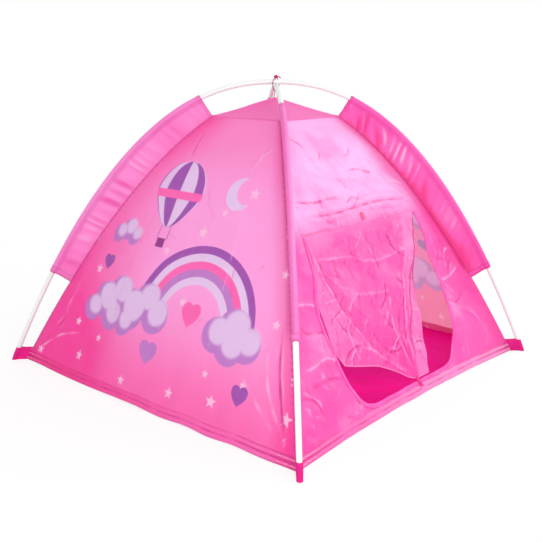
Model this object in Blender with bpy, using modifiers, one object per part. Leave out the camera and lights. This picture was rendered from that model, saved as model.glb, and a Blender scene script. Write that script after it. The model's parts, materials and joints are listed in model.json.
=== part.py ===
"""A child's play tent: four sloping cloth walls and a roof cap, hung from two bowed poles that cross on top.

All sizes are in metres. The origin is the middle of the floor, +Z is up and the door wall faces -Y.
Each pole stands in a vertical plane through two opposite corners. In that plane its height over the floor
falls from the crossing to the foot as a power of the distance from the tent's middle, and so does the ridge
where two walls meet. A wall is straight from ridge to ridge, so its shape follows from the ridge alone.
"""

import math

import bmesh
import bpy
from mathutils import Matrix, Vector

# Poles: bent plastic tubes in sections, pushed together over inner connectors.
pole_foot_spacing = 1.20
pole_rise = 0.885
pole_curve_power = 2.22
pole_outer_radius = 0.0075
pole_wall = 0.0012
pole_foot_height = 0.012
crossing_gap = 0.0003
middle_section_length = 0.62
side_section_length = 0.48
section_joint_gap = 0.0003
rings_per_section = 9
pole_fine_steps = 2000

connector_length = 0.070
connector_clearance = 0.0005

plug_cap_thickness = 0.004
plug_cap_gap = 0.0003
plug_cap_chamfer = 0.0004
plug_spigot_length = 0.016

# Canopy: the ridge curve, and the cloth that hangs from it. Both follow the poles.
canopy_foot_inset = 0.0245
canopy_crown_drop = 0.021
canopy_curve_power = 1.72
cloth_thickness = 0.0008
floor_thickness = 0.0008
seam_gap = 0.0003
door_wall_sag = 0.026
side_wall_bulge = 0.014
bulge_fade_power = 3
wall_columns = 16
foot_rows = 4
sleeve_rows = 11

# Roof cap.
cap_seam_drop = 0.075
cap_rise = 0.058
cap_seam_gap = 0.0006
cap_curve_power = 1.15
cap_cells = 8

# Pole sleeves: cloth folded over each pole, with a flat web down to the ridge.
sleeve_foot_height = 0.262
sleeve_pole_clearance = 0.0014
sleeve_layer_gap = 0.0006
sleeve_neck_length = 0.006
sleeve_opening_angle = 50
sleeve_arc_steps = 8
sleeve_halving_steps = 40

# Corner pockets that hold the pole feet.
pocket_height = 0.042
pocket_pole_clearance = 0.0005
pocket_wall = 0.0012
pocket_web_thickness = 0.0028
pocket_ridge_gap = 0.0004
pocket_shoulder_angle = 115
pocket_reach_share = 0.77
pocket_pinch_share = 0.385
pocket_sides = 20

# Hem bands sewn along the foot of each wall.
hem_height = 0.028
hem_thickness = 0.0024
hem_gap = 0.0003

# Doorway in the wall that faces -Y.
door_top_height = 0.492
door_widest_height = 0.300
door_sill_height = 0.040
door_top_width = 0.550
door_widest_width = 0.600
door_sill_width = 0.330
door_corner_power = 2.5
door_side_steps = 5
door_corner_steps = 10
door_sill_steps = 6
binding_width = 0.010
binding_thickness = 0.0012
binding_lift = 0.0005
cut_overrun = 0.150

# Door flap, sewn over the doorway's top edge and gathered to one point at the sill.
flap_lap = 0.008
flap_side_clearance = 0.004
flap_free_height = 0.235
flap_gather_height = 0.049
flap_gather_left = 0.018
flap_gather_right = 0.096
flap_left_power = 0.75
flap_right_power = 1.15
flap_slit_width = 0.022
flap_slit_power = 1.5
flap_top_gap = 0.0003
flap_fold_depth = 0.011
flap_gather_fold_depth = 0.0020
flap_gather_lift = 0.0018
flap_fold_count = 6.5
flap_fold_drift_share = 0.08
flap_fold_spacing_power = 1.1
flap_fold_depth_power = 0.8
flap_columns = 26
flap_rows = 16

# Tabs on the door.
closure_tab_width = 0.014
closure_tab_length = 0.036
closure_tab_thickness = 0.0015
closure_tab_centre = 0.036
closure_tab_overlap = 0.006
roll_up_tab_width = 0.017
roll_up_tab_length = 0.025
roll_up_tab_thickness = 0.0015
roll_up_tab_centre = 0.0
roll_up_tab_spacing = 0.004
tab_seat_gap = 0.0003
tab_corner_radius = 0.003

# Tie that hangs the roof's apex from the crossing, and its knot.
tie_radius = 0.0012
tie_pole_clearance = 0.0034
tie_pinch = 0.0024
tie_foot_spread = 0.009
tie_cap_gap = 0.0003
tie_steps = 16
knot_width = 0.015
knot_depth = 0.012
knot_height = 0.013
knot_seat_gap = 0.0003
knot_tie_gap = 0.0003
knot_tail_length = 0.016
knot_tail_radius = 0.0024
knot_tail_tip_radius = 0.0012
knot_tail_drop = 0.003

# Curve ends and their caps are welded within this distance.
weld_distance = 0.00003

# Worked out from the sizes above.
pole_foot_radius = pole_foot_spacing / math.sqrt(2)
pole_bore_radius = pole_outer_radius - pole_wall
crossing_offset = pole_outer_radius + crossing_gap / 2
canopy_side = pole_foot_spacing - 2 * canopy_foot_inset
canopy_rise = pole_rise - canopy_crown_drop
cap_seam_height = canopy_rise - cap_seam_drop
canopy_corner_radius = canopy_side / math.sqrt(2)
corner_inset = cloth_thickness + seam_gap
flap_seam_height = door_top_height + flap_lap

# Colours.
hot_pink = (0.90, 0.10, 0.42)
wall_pink = (0.95, 0.25, 0.60)
door_pink = (0.97, 0.38, 0.70)
deep_pink = (0.66, 0.01, 0.20)
tube_white = (0.88, 0.86, 0.85)
plug_grey = (0.55, 0.53, 0.54)

parts = None
cutters = None


def start_scene():
    """Empty the scene and make the two collections."""
    global parts, cutters
    for old in list(bpy.data.objects):
        bpy.data.objects.remove(old, do_unlink=True)
    parts = bpy.data.collections.new("kids_play_tent")
    cutters = bpy.data.collections.new("cutters")
    for collection in (parts, cutters):
        bpy.context.scene.collection.children.link(collection)


def finish_of(name, colour, roughness):
    """A material for one part."""
    material = bpy.data.materials.new(name)
    material.use_nodes = True
    shader = material.node_tree.nodes["Principled BSDF"]
    shader.inputs["Base Color"].default_value = (*colour, 1)
    shader.inputs["Roughness"].default_value = roughness
    shader.inputs["Metallic"].default_value = 0
    return material


def add_part(name, data, colour, roughness=0.5, turn=0.0):
    """Link one part, turned about the tent's upright axis."""
    part = bpy.data.objects.new(name, data)
    part.rotation_euler.z = turn
    data.materials.append(finish_of(name, colour, roughness))
    parts.objects.link(part)
    return part


def add_cutter(name, mesh, turn=0.0):
    """Link a mesh that only cuts."""
    cutter = bpy.data.objects.new(name, mesh)
    cutter.rotation_euler.z = turn
    cutter.hide_render = True
    cutter.display_type = "WIRE"
    cutters.objects.link(cutter)
    return cutter


def mesh_from(bm, name):
    """Write a bmesh to a mesh, shaded smooth up to a clear edge."""
    mesh = bpy.data.meshes.new(name)
    bm.to_mesh(mesh)
    bm.free()
    mesh.shade_smooth()
    mesh.set_sharp_from_angle(angle=math.radians(40))
    return mesh


def surface_mesh(name, columns, levels, point_at):
    """A grid whose corner (u, v), both 0 to 1, is moved to point_at(u, v)."""
    bm = bmesh.new()
    bmesh.ops.create_grid(bm, x_segments=columns, y_segments=levels, size=0.5)
    for vertex in bm.verts:
        vertex.co = point_at(vertex.co.x + 0.5, vertex.co.y + 0.5)
    return mesh_from(bm, name)


def thicken(part, thickness, outward):
    """Give an open sheet its thickness, outward or inward of the modelled face."""
    solidify = part.modifiers.new("thickness", "SOLIDIFY")
    solidify.thickness = thickness
    solidify.offset = 1 if outward else -1
    solidify.use_even_offset = True


def cut_with(part, cutter):
    """Take the cutter out of the part."""
    boolean = part.modifiers.new(cutter.name, "BOOLEAN")
    boolean.operation = "DIFFERENCE"
    boolean.object = cutter


def rod_curve(name, points, radii, filled=True, resolution=3):
    """A round rod through the points, with a radius at each."""
    curve = bpy.data.curves.new(name, "CURVE")
    curve.dimensions = "3D"
    curve.bevel_depth = max(radii)
    curve.bevel_resolution = resolution
    curve.use_fill_caps = filled
    spline = curve.splines.new("POLY")
    spline.points.add(len(points) - 1)
    for target, point, radius in zip(spline.points, points, radii):
        target.co = (*point, 1)
        target.radius = radius / curve.bevel_depth
    return curve


def curve_to_mesh(curve, name):
    """Turn a filled curve into a closed mesh with its caps welded on."""
    holder = bpy.data.objects.new(name, curve)
    bpy.context.scene.collection.objects.link(holder)
    evaluated = holder.evaluated_get(bpy.context.evaluated_depsgraph_get())
    mesh = bpy.data.meshes.new_from_object(evaluated)
    bpy.data.objects.remove(holder)
    bm = bmesh.new()
    bm.from_mesh(mesh)
    bmesh.ops.remove_doubles(bm, verts=bm.verts, dist=weld_distance)
    bm.to_mesh(mesh)
    bm.free()
    return mesh


# Curves of the frame and the canopy, in the upright plane through a corner.


def pole_height(distance, rise):
    """Height of a pole's axis at a distance from the tent's middle."""
    share = abs(distance) / pole_foot_radius
    return pole_foot_height + (rise - pole_foot_height) * (1 - share**pole_curve_power)


def ridge_height(distance):
    """Height of the canopy's ridge at a distance from the tent's middle."""
    return canopy_rise * (1 - (distance / canopy_corner_radius) ** canopy_curve_power)


def ridge_distance(height):
    """Distance of the canopy's ridge from the tent's middle at a height."""
    return canopy_corner_radius * (1 - height / canopy_rise) ** (1 / canopy_curve_power)


def ridge_normal(distance):
    """Outward direction square to the ridge, as (distance, height)."""
    share = (distance / canopy_corner_radius) ** (canopy_curve_power - 1)
    fall = canopy_rise * canopy_curve_power / canopy_corner_radius * share
    return Vector((fall, 1)).normalized()


def wall_normal(height):
    """Outward direction square to the wall that faces -Y."""
    across, up = ridge_normal(ridge_distance(height))
    return Vector((0, -across * math.sqrt(2), up)).normalized()


def on_wall(x, height, lift, bulge, straight_height):
    """A point on the outer face of the wall that faces -Y, lifted off it.

    The face is straight from ridge to ridge, plus a bulge: a parabola across it that fades out going up.
    """
    half = ridge_distance(height) / math.sqrt(2)
    across = 1 - min(abs(x) / half, 1) ** 2
    fade = max(1 - (height / straight_height) ** bulge_fade_power, 0)
    return Vector((x, -half - bulge * across * fade, height)) + wall_normal(height) * lift


def on_door_wall(x, height, lift):
    """A point lifted off the door wall's outer face, which sags inward up to the flap's top seam."""
    return on_wall(x, height, lift, -door_wall_sag, flap_seam_height)


def evenly(first, last, count):
    """Values from first to last in equal steps."""
    return [first + (last - first) * step / count for step in range(count + 1)]


def row_distances():
    """Ridge distances of the wall's rows, from the floor up: below the sleeve, then along it."""
    foot = ridge_distance(wall_foot_height)
    sleeve_foot = ridge_distance(sleeve_foot_height)
    head = ridge_distance(cap_seam_height)
    return evenly(foot, sleeve_foot, foot_rows)[:-1] + evenly(sleeve_foot, head, sleeve_rows)


wall_foot_height = floor_thickness + seam_gap + cloth_thickness * wall_normal(0).z
rows = row_distances()


# Poles.


def pole_line(rise):
    """Points along a pole's axis from foot to foot with their running length, and the lengths of its joints.

    The rings stand inside each section, so that two sections always meet on one straight stretch.
    """
    fine = [
        Vector((distance, 0, pole_height(distance, rise)))
        for distance in evenly(-pole_foot_radius, pole_foot_radius, pole_fine_steps)
    ]
    lengths = [0.0]
    for before, after in zip(fine, fine[1:]):
        lengths.append(lengths[-1] + (after - before).length)
    middle = lengths[-1] / 2
    inner, outer = middle_section_length / 2, middle_section_length / 2 + side_section_length
    joints = [middle - outer, middle - inner, middle + inner, middle + outer]
    stations = [0.0]
    for start, end in zip([0.0] + joints, joints + [lengths[-1]]):
        half_step = (end - start) / rings_per_section / 2
        stations += evenly(start + half_step, end - half_step, rings_per_section - 1)
    stations.append(lengths[-1])
    line = []
    step = 0
    for station in stations:
        while step < pole_fine_steps - 1 and lengths[step + 1] < station:
            step += 1
        share = (station - lengths[step]) / (lengths[step + 1] - lengths[step])
        line.append((station, fine[step].lerp(fine[step + 1], share)))
    return line, joints


def point_along(line, station):
    """The point of the ringed axis at a running length; past an end it goes straight on."""
    index = 1
    while index < len(line) - 1 and line[index][0] < station:
        index += 1
    (start, a), (end, b) = line[index - 1], line[index]
    return a.lerp(b, (station - start) / (end - start))


def stretch(line, start, end):
    """The axis from one running length to another, with the rings between them."""
    between = [point for station, point in line if start < station < end]
    return [point_along(line, start)] + between + [point_along(line, end)]


def add_pole(name, rise, turn, foot_names):
    """One pole: five tube sections, four inner connectors and a plug in each foot."""
    line, joints = pole_line(rise)
    total = line[-1][0]
    ends = [-section_joint_gap / 2] + joints + [total + section_joint_gap / 2]
    for number, (start, end) in enumerate(zip(ends, ends[1:]), 1):
        points = stretch(line, start + section_joint_gap / 2, end - section_joint_gap / 2)
        radii = [pole_outer_radius] * len(points)
        curve = rod_curve(f"{name}_section_{number}", points, radii, filled=False)
        tube = add_part(f"{name}_section_{number}", curve, tube_white, 0.35, turn)
        thicken(tube, pole_wall, outward=False)

    spigot = pole_bore_radius - connector_clearance
    for number, joint in enumerate(joints, 1):
        points = stretch(line, joint - connector_length / 2, joint + connector_length / 2)
        curve = rod_curve(f"{name}_connector_{number}", points, [spigot] * len(points))
        add_part(f"{name}_connector_{number}", curve, plug_grey, 0.4, turn)

    for foot, sense in zip(foot_names, (-1, 1)):
        end = 0.0 if sense < 0 else total
        stations = [-plug_spigot_length, plug_cap_gap, plug_cap_gap + plug_cap_chamfer, plug_cap_thickness]
        points = [point_along(line, end + sense * station) for station in stations]
        radii = [spigot, spigot, pole_outer_radius, pole_outer_radius]
        curve = rod_curve(f"{foot}_pole_plug", points, radii)
        add_part(f"{foot}_pole_plug", curve, plug_grey, 0.4, turn)
    return line


# Canopy.


def add_wall(name, turn, bulge, straight_height, colour):
    """One wall, a single curved sheet."""

    def point_at(u, v):
        height = ridge_height(rows[round(v * (len(rows) - 1))])
        half = ridge_distance(height) / math.sqrt(2) - corner_inset
        return on_wall((2 * u - 1) * half, height, 0, bulge, straight_height)

    wall = add_part(name, surface_mesh(name, wall_columns, len(rows) - 1, point_at), colour, 0.45, turn)
    thicken(wall, cloth_thickness, outward=False)
    return wall


def door_outline():
    """The doorway's edge as (x, height), from its top left corner round the sill to its top right.

    Its sides widen down to the widest height, and its lower corners are quarters of a superellipse.
    """
    half_top, half_widest, half_sill = door_top_width / 2, door_widest_width / 2, door_sill_width / 2
    side = [
        (half_top + (half_widest - half_top) * step / door_side_steps,
         door_top_height + (door_widest_height - door_top_height) * step / door_side_steps)
        for step in range(door_side_steps)
    ]
    power = 2 / door_corner_power
    corner = [
        (half_sill + (half_widest - half_sill) * max(math.cos(angle), 0) ** power,
         door_widest_height - (door_widest_height - door_sill_height) * math.sin(angle) ** power)
        for angle in evenly(0, math.pi / 2, door_corner_steps)
    ]
    right = side + corner
    sill = [(x, door_sill_height) for x in evenly(-half_sill, half_sill, door_sill_steps)[1:-1]]
    return [(-x, height) for x, height in right] + sill + right[::-1]


def add_doorway(wall):
    """Cut the doorway out of its wall."""
    outline = door_outline()
    curve = bpy.data.curves.new("doorway", "CURVE")
    curve.dimensions = "2D"
    curve.fill_mode = "BOTH"
    curve.extrude = cut_overrun
    spline = curve.splines.new("POLY")
    spline.points.add(len(outline) - 1)
    spline.use_cyclic_u = True
    for target, (x, height) in zip(spline.points, outline):
        target.co = (x, height, 0, 1)
    mesh = curve_to_mesh(curve, "doorway")
    middle = on_door_wall(0, (door_top_height + door_sill_height) / 2, 0)
    mesh.transform(Matrix.Translation((0, middle.y, 0)) @ Matrix.Rotation(math.pi / 2, 4, "X"))
    cut_with(wall, add_cutter("doorway", mesh))


def add_binding():
    """The tape sewn round the doorway's sides and sill, on the wall's outer face."""
    outline = [Vector(point) for point in door_outline()]

    def point_at(u, v):
        index = round(u * (len(outline) - 1))
        before, after = outline[max(index - 1, 0)], outline[min(index + 1, len(outline) - 1)]
        along = (after - before).normalized()
        outside = Vector((along.y, -along.x))
        place = outline[index] + outside * binding_width * (1 - v)
        return on_door_wall(place.x, place.y, binding_lift)

    mesh = surface_mesh("door_binding", len(outline) - 1, 1, point_at)
    binding = add_part("door_binding", mesh, wall_pink, 0.5)
    thicken(binding, binding_thickness, outward=True)


def add_hem(name, turn, bulge, straight_height):
    """The band along a wall's foot."""

    def point_at(u, v):
        height = hem_height * v
        half = ridge_distance(height) / math.sqrt(2) - corner_inset
        return on_wall((2 * u - 1) * half, height, hem_gap, bulge, straight_height)

    hem = add_part(name, surface_mesh(name, wall_columns, 1, point_at), hot_pink, 0.5, turn)
    thicken(hem, hem_thickness, outward=True)


def add_floor(walls):
    """The groundsheet, which lies flat under the walls' feet and follows their line."""
    curve = bpy.data.curves.new("floor_sheet", "CURVE")
    curve.dimensions = "2D"
    curve.fill_mode = "BOTH"
    curve.extrude = floor_thickness / 2
    half = canopy_side / 2
    outline = []
    for _, turn, bulge, straight_height, _ in walls:
        rotation = Matrix.Rotation(turn, 3, "Z")
        stations = evenly(-half, half, wall_columns)[:-1]
        outline += [rotation @ on_wall(x, 0, 0, bulge, straight_height) for x in stations]
    spline = curve.splines.new("POLY")
    spline.points.add(len(outline) - 1)
    spline.use_cyclic_u = True
    for target, point in zip(spline.points, outline):
        target.co = (point.x, point.y, 0, 1)
    mesh = curve_to_mesh(curve, "floor_sheet")
    mesh.transform(Matrix.Translation((0, 0, floor_thickness / 2)))
    add_part("floor_sheet", mesh, deep_pink, 0.4)


def cap_base():
    """Half the roof cap's width and the height of its rim, just above the walls' top edges."""
    normal = wall_normal(cap_seam_height)
    half = ridge_distance(cap_seam_height) / math.sqrt(2) - cap_seam_gap * normal.z
    return half, cap_seam_height - cap_seam_gap * normal.y


def cap_height(x, y):
    """Height of the roof cap, rising to its apex."""
    half, rim = cap_base()
    share = min(max(abs(x), abs(y)) / half, 1)
    return rim + cap_rise * (1 - share) ** cap_curve_power


def add_cap():
    """The square roof cap over the walls' top edges."""
    half, _ = cap_base()

    def point_at(u, v):
        x, y = (2 * u - 1) * half, (2 * v - 1) * half
        return Vector((x, y, cap_height(x, y)))

    cap = add_part("roof_cap", surface_mesh("roof_cap", cap_cells, cap_cells, point_at), hot_pink, 0.45)
    thicken(cap, cloth_thickness, outward=False)


# Sleeves and pockets, each built in the upright plane through the +X corner and turned to its own.


def pole_over(distance, rise):
    """Where the square off the ridge at a distance meets the pole, as the reach along that square."""
    normal = ridge_normal(distance)
    low, high = 0.0, pole_foot_radius
    for _ in range(sleeve_halving_steps):
        reach = (low + high) / 2
        place = Vector((distance, ridge_height(distance))) + normal * reach
        if place.x < pole_foot_radius and place.y < pole_height(place.x, rise):
            low = reach
        else:
            high = reach
    return low


def add_sleeve(name, rise, turn):
    """Cloth folded over the pole: up one side of the web, round the pole and down the other side."""
    inner_radius = pole_outer_radius + sleeve_pole_clearance
    half_gap = sleeve_layer_gap / 2
    end_angle = math.pi - math.radians(sleeve_opening_angle)
    arc = [(math.cos(angle), math.sin(angle)) for angle in evenly(-end_angle, end_angle, sleeve_arc_steps)]
    sleeve_distances = rows[foot_rows:]

    def point_at(u, v):
        distance = sleeve_distances[round(v * sleeve_rows)]
        normal = ridge_normal(distance)
        reach = pole_over(distance, rise)
        neck = reach - inner_radius - sleeve_neck_length
        profile = [(0, -half_gap), (neck, -half_gap)]
        profile += [(reach + inner_radius * c, inner_radius * s) for c, s in arc]
        profile += [(neck, half_gap), (0, half_gap)]
        out, side = profile[round(u * (sleeve_arc_steps + 4))]
        place = Vector((distance, ridge_height(distance))) + normal * out
        return Vector((place.x, side, place.y))

    mesh = surface_mesh(name, sleeve_arc_steps + 4, sleeve_rows, point_at)
    sleeve = add_part(name, mesh, hot_pink, 0.45, turn)
    thicken(sleeve, cloth_thickness, outward=True)


def add_pocket(name, line, turn):
    """A webbing cup round the pole's foot, drawn in to the canopy's corner."""
    wrap = pole_outer_radius + pocket_pole_clearance + pocket_wall
    shoulder = math.radians(pocket_shoulder_angle)
    total = line[-1][0]
    foot, above = point_along(line, total), point_along(line, total - pocket_height)
    lean = (above.x - foot.x) / (above.z - foot.z)
    stretch_share = math.sqrt(1 + lean**2)

    bm = bmesh.new()
    bmesh.ops.create_cone(bm, cap_ends=True, segments=pocket_sides, radius1=1, radius2=1, depth=1)
    for vertex in bm.verts:
        height = pocket_height * (vertex.co.z + 0.5)
        axis = foot.x + lean * (height - foot.z)
        angle = abs(math.atan2(vertex.co.y, vertex.co.x))
        side = math.copysign(1, vertex.co.y)
        if angle <= shoulder:
            out = axis + wrap * stretch_share * math.cos(angle)
            across = wrap * math.sin(angle)
        else:
            share = (angle - shoulder) / (math.pi - shoulder)
            start = axis + wrap * stretch_share * math.cos(shoulder)
            reach = ridge_distance(height) + pocket_ridge_gap - start
            out = start + reach * min(share / pocket_reach_share, 1)
            across = wrap * math.sin(shoulder)
            across += (pocket_web_thickness / 2 - across) * min(share / pocket_pinch_share, 1)
            across *= 0 if math.isclose(angle, math.pi) else 1
        vertex.co = (out, side * across, height)
    pocket = add_part(name, mesh_from(bm, name), deep_pink, 0.6, turn)

    bottom = total + plug_cap_thickness + pocket_pole_clearance
    points = [point_along(line, bottom), point_along(line, total - 2 * pocket_height)]
    radii = [pole_outer_radius + pocket_pole_clearance] * 2
    mesh = curve_to_mesh(rod_curve(f"{name}_bore", points, radii), f"{name}_bore")
    cut_with(pocket, add_cutter(f"{name}_bore", mesh, turn))


# Door flap and tabs.


def flap_edges(height):
    """The flap's left and right edge at a height: straight sides drawn in to the gather at the sill."""

    def side(level):
        """Half the doorway's width between its widest height and its top, less the flap's clearance."""
        share = (door_top_height - min(level, door_top_height)) / (door_top_height - door_widest_height)
        width = door_top_width + (door_widest_width - door_top_width) * min(share, 1)
        return width / 2 - flap_side_clearance

    rise = (height - flap_gather_height) / (flap_free_height - flap_gather_height)
    if rise < 1:
        left = flap_gather_left + (-side(height) - flap_gather_left) * max(rise, 0) ** flap_left_power
    else:
        share = (height - flap_free_height) / (flap_seam_height - flap_free_height)
        left = -side(height) + flap_slit_width * math.sin(math.pi * share**flap_slit_power) ** 2
    share = max(height - flap_gather_height, 0) / (flap_seam_height - flap_gather_height)
    right = flap_gather_right + (side(door_top_height) - flap_gather_right) * share**flap_right_power
    return left, right


def flap_point(u, v):
    """The flap's outer face: folds fan out from the gather and die away under the top seam."""
    heights = evenly(flap_gather_height, door_top_height, flap_rows - 1) + [flap_seam_height]
    height = heights[round(v * flap_rows)]
    left, right = flap_edges(height)
    x = left + (right - left) * u
    below = max(door_top_height - height, 0) / (door_top_height - flap_gather_height)
    swell = max(math.sin(math.pi * below), 0)
    depth = flap_fold_depth * swell**flap_fold_depth_power + flap_gather_fold_depth * below**3
    phase = (u + flap_fold_drift_share * swell) ** flap_fold_spacing_power
    fold = math.cos(2 * math.pi * flap_fold_count * phase)
    lift = (flap_top_gap + cloth_thickness) * (1 - below) + flap_gather_lift * below
    return on_door_wall(x, height, lift + depth * (fold - 1) / 2)


def add_flap():
    """The door flap, with its origin on the top seam it swings about."""
    axis = flap_axis()
    mesh = surface_mesh("door_flap", flap_columns, flap_rows, flap_point)
    mesh.transform(Matrix.Translation(-axis))
    flap = add_part("door_flap", mesh, door_pink, 0.4)
    flap.location = axis
    thicken(flap, cloth_thickness, outward=False)


def flap_axis():
    """The middle of the flap's top edge."""
    return on_door_wall(0, flap_seam_height, flap_top_gap + cloth_thickness / 2)


def add_tab(name, centre, top_height, size, lift, colour):
    """A flat tab with rounded lower corners, whose origin is on its top edge."""
    width, length, thickness = size
    normal = wall_normal(top_height)
    down = Vector((0, normal.z, -normal.y)) * -1
    origin = on_door_wall(centre, top_height, lift + thickness / 2)
    bm = bmesh.new()
    bmesh.ops.create_cube(bm, size=1)
    for vertex in bm.verts:
        across, out, along = vertex.co
        vertex.co = Vector((across * width, 0, 0)) + down * length * (0.5 - along) - normal * thickness * out
    bm.normal_update()
    lower = [
        edge for edge in bm.edges
        if all((vertex.co.dot(down)) > length / 2 for vertex in edge.verts)
        and abs((edge.verts[0].co - edge.verts[1].co).normalized().dot(normal)) > 0.5
    ]
    bmesh.ops.bevel(bm, geom=lower, offset=tab_corner_radius, segments=3, profile=0.5, affect="EDGES")
    tab = add_part(name, mesh_from(bm, name), colour, 0.55)
    tab.location = origin


# Tie and knot at the crossing.


def tie_line():
    """Points from the roof's apex up round the crossing and back, in the plane between the poles."""
    half_width = pole_outer_radius * math.sqrt(2) + tie_radius + tie_pole_clearance
    half_height = crossing_offset + pole_outer_radius + tie_radius + tie_pole_clearance
    pinch_angle = math.asin(tie_pinch / half_width)
    loop = [
        Vector((half_width * math.sin(angle), 0, pole_rise - half_height * math.cos(angle)))
        for angle in evenly(pinch_angle, 2 * math.pi - pinch_angle, tie_steps)
    ]
    foot = cap_height(tie_foot_spread, 0) + tie_radius + tie_cap_gap
    return [Vector((tie_foot_spread, 0, foot))] + loop + [Vector((-tie_foot_spread, 0, foot))]


def add_tie():
    """The cord that hangs the roof's apex from the crossing."""
    line = tie_line()
    curve = rod_curve("crossing_tie", line, [tie_radius] * len(line), resolution=2)
    add_part("crossing_tie", curve, deep_pink, 0.6)


def add_knot():
    """The knot in the cord, on top of the upper pole, with one short tail."""
    bm = bmesh.new()
    bmesh.ops.create_uvsphere(bm, u_segments=12, v_segments=8, radius=0.5)
    bmesh.ops.scale(bm, vec=(knot_width, knot_depth, knot_height), verts=bm.verts)
    centre = pole_rise + crossing_offset + pole_outer_radius + knot_seat_gap + knot_height / 2
    bmesh.ops.translate(bm, vec=(0, 0, centre), verts=bm.verts)
    knot = add_part("tie_knot", mesh_from(bm, "tie_knot"), deep_pink, 0.6)

    tail_end = Vector((knot_width / 2 + knot_tail_length, 0, centre - knot_tail_drop))
    points = [Vector((0, 0, centre)), Vector((knot_width / 2, 0, centre)), tail_end]
    radii = [knot_tail_radius, knot_tail_radius, knot_tail_tip_radius]
    tail_rod = rod_curve("knot_tail", points, radii, resolution=2)
    tail = add_cutter("knot_tail", curve_to_mesh(tail_rod, "knot_tail"))
    union = knot.modifiers.new("tail", "BOOLEAN")
    union.operation = "UNION"
    union.object = tail

    line = tie_line()
    room = rod_curve("tie_room", line, [tie_radius + knot_tie_gap] * len(line), resolution=2)
    cut_with(knot, add_cutter("tie_room", curve_to_mesh(room, "tie_room")))


def build():
    """Make the whole tent."""
    start_scene()
    quarter = math.pi / 2
    front_back = add_pole("front_back_pole", pole_rise - crossing_offset, quarter / 2, ("front", "back"))
    left_right = add_pole("left_right_pole", pole_rise + crossing_offset, -quarter / 2, ("left", "right"))

    walls = (
        ("door", 0, -door_wall_sag, flap_seam_height, door_pink),
        ("right", quarter, side_wall_bulge, cap_seam_height, wall_pink),
        ("back", 2 * quarter, side_wall_bulge, cap_seam_height, wall_pink),
        ("left", -quarter, side_wall_bulge, cap_seam_height, wall_pink),
    )
    add_floor(walls)
    for name, turn, bulge, straight_height, colour in walls:
        wall = add_wall(f"{name}_wall", turn, bulge, straight_height, colour)
        add_hem(f"{name}_hem", turn, bulge, straight_height)
        if name == "door":
            add_doorway(wall)
    add_cap()
    add_binding()

    corners = (
        ("right", pole_rise + crossing_offset, left_right, -0.5),
        ("back", pole_rise - crossing_offset, front_back, 0.5),
        ("left", pole_rise + crossing_offset, left_right, 1.5),
        ("front", pole_rise - crossing_offset, front_back, 2.5),
    )
    for name, rise, line, quarters in corners:
        add_sleeve(f"{name}_sleeve", rise, quarters * quarter)
        add_pocket(f"{name}_corner_pocket", line, quarters * quarter)

    add_flap()
    closure_size = (closure_tab_width, closure_tab_length, closure_tab_thickness)
    closure_lift = hem_gap + hem_thickness + tab_seat_gap
    closure_top = flap_gather_height + closure_tab_overlap
    add_tab("closure_tab", closure_tab_centre, closure_top, closure_size, closure_lift, deep_pink)
    roll_up_size = (roll_up_tab_width, roll_up_tab_length, roll_up_tab_thickness)
    roll_up_rise = roll_up_tab_length * abs(wall_normal(door_top_height).y)
    roll_up_top = flap_seam_height + roll_up_tab_spacing + roll_up_rise
    add_tab("roll_up_tab", roll_up_tab_centre, roll_up_top, roll_up_size, tab_seat_gap, hot_pink)
    add_tie()
    add_knot()


build()
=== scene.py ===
"""Dresses a child's play tent: a shiny polyester canopy hung from two bowed poles that cross on top.

Every length is in metres in the tent's own frame: the origin is the middle of the floor, +Z is up and the
door wall faces -Y. Each piece of cloth is worked out in flat coordinates of its wall, which are x across it
and the height over the floor, and is laid on the canopy's curve. Wrinkles and trim stand off that curve
along its outward direction, so that a hem, a tape or a row of stitches stays seated on its cloth.
"""

from __future__ import annotations

import json
import logging
import math
from collections.abc import Sequence
from dataclasses import dataclass, field
from enum import Enum

import bpy
import numpy as np
from mathutils import Matrix, Vector

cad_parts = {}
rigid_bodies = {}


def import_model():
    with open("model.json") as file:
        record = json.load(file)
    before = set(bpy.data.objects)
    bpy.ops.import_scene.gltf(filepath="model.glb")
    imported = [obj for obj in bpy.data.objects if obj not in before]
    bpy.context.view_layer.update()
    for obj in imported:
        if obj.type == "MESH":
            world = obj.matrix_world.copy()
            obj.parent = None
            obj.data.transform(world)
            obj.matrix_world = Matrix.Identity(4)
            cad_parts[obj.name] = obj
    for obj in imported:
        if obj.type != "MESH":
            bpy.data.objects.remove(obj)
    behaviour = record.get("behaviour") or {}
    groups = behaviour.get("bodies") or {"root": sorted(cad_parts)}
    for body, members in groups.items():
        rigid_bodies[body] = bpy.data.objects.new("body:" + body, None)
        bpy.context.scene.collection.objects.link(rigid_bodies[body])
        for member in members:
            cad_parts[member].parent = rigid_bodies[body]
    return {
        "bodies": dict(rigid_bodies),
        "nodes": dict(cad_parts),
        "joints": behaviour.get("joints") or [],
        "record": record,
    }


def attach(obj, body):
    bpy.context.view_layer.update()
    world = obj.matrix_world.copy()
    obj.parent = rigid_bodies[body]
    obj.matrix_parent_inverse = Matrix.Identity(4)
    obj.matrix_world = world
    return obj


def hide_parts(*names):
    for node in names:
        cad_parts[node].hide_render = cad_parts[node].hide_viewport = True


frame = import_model()

log = logging.getLogger("play_tent")

Array = np.ndarray
Colour = tuple[float, float, float]
Pair = tuple[float, float]
Material = bpy.types.Material
Object = bpy.types.Object

TURN = 2 * math.pi


class Body(Enum):
    """What a piece moves with."""

    TENT = "tent"
    FLAP = "door_flap"
    CLOSURE = "closure_tab"
    ROLL_UP = "roll_up_tab"


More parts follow.
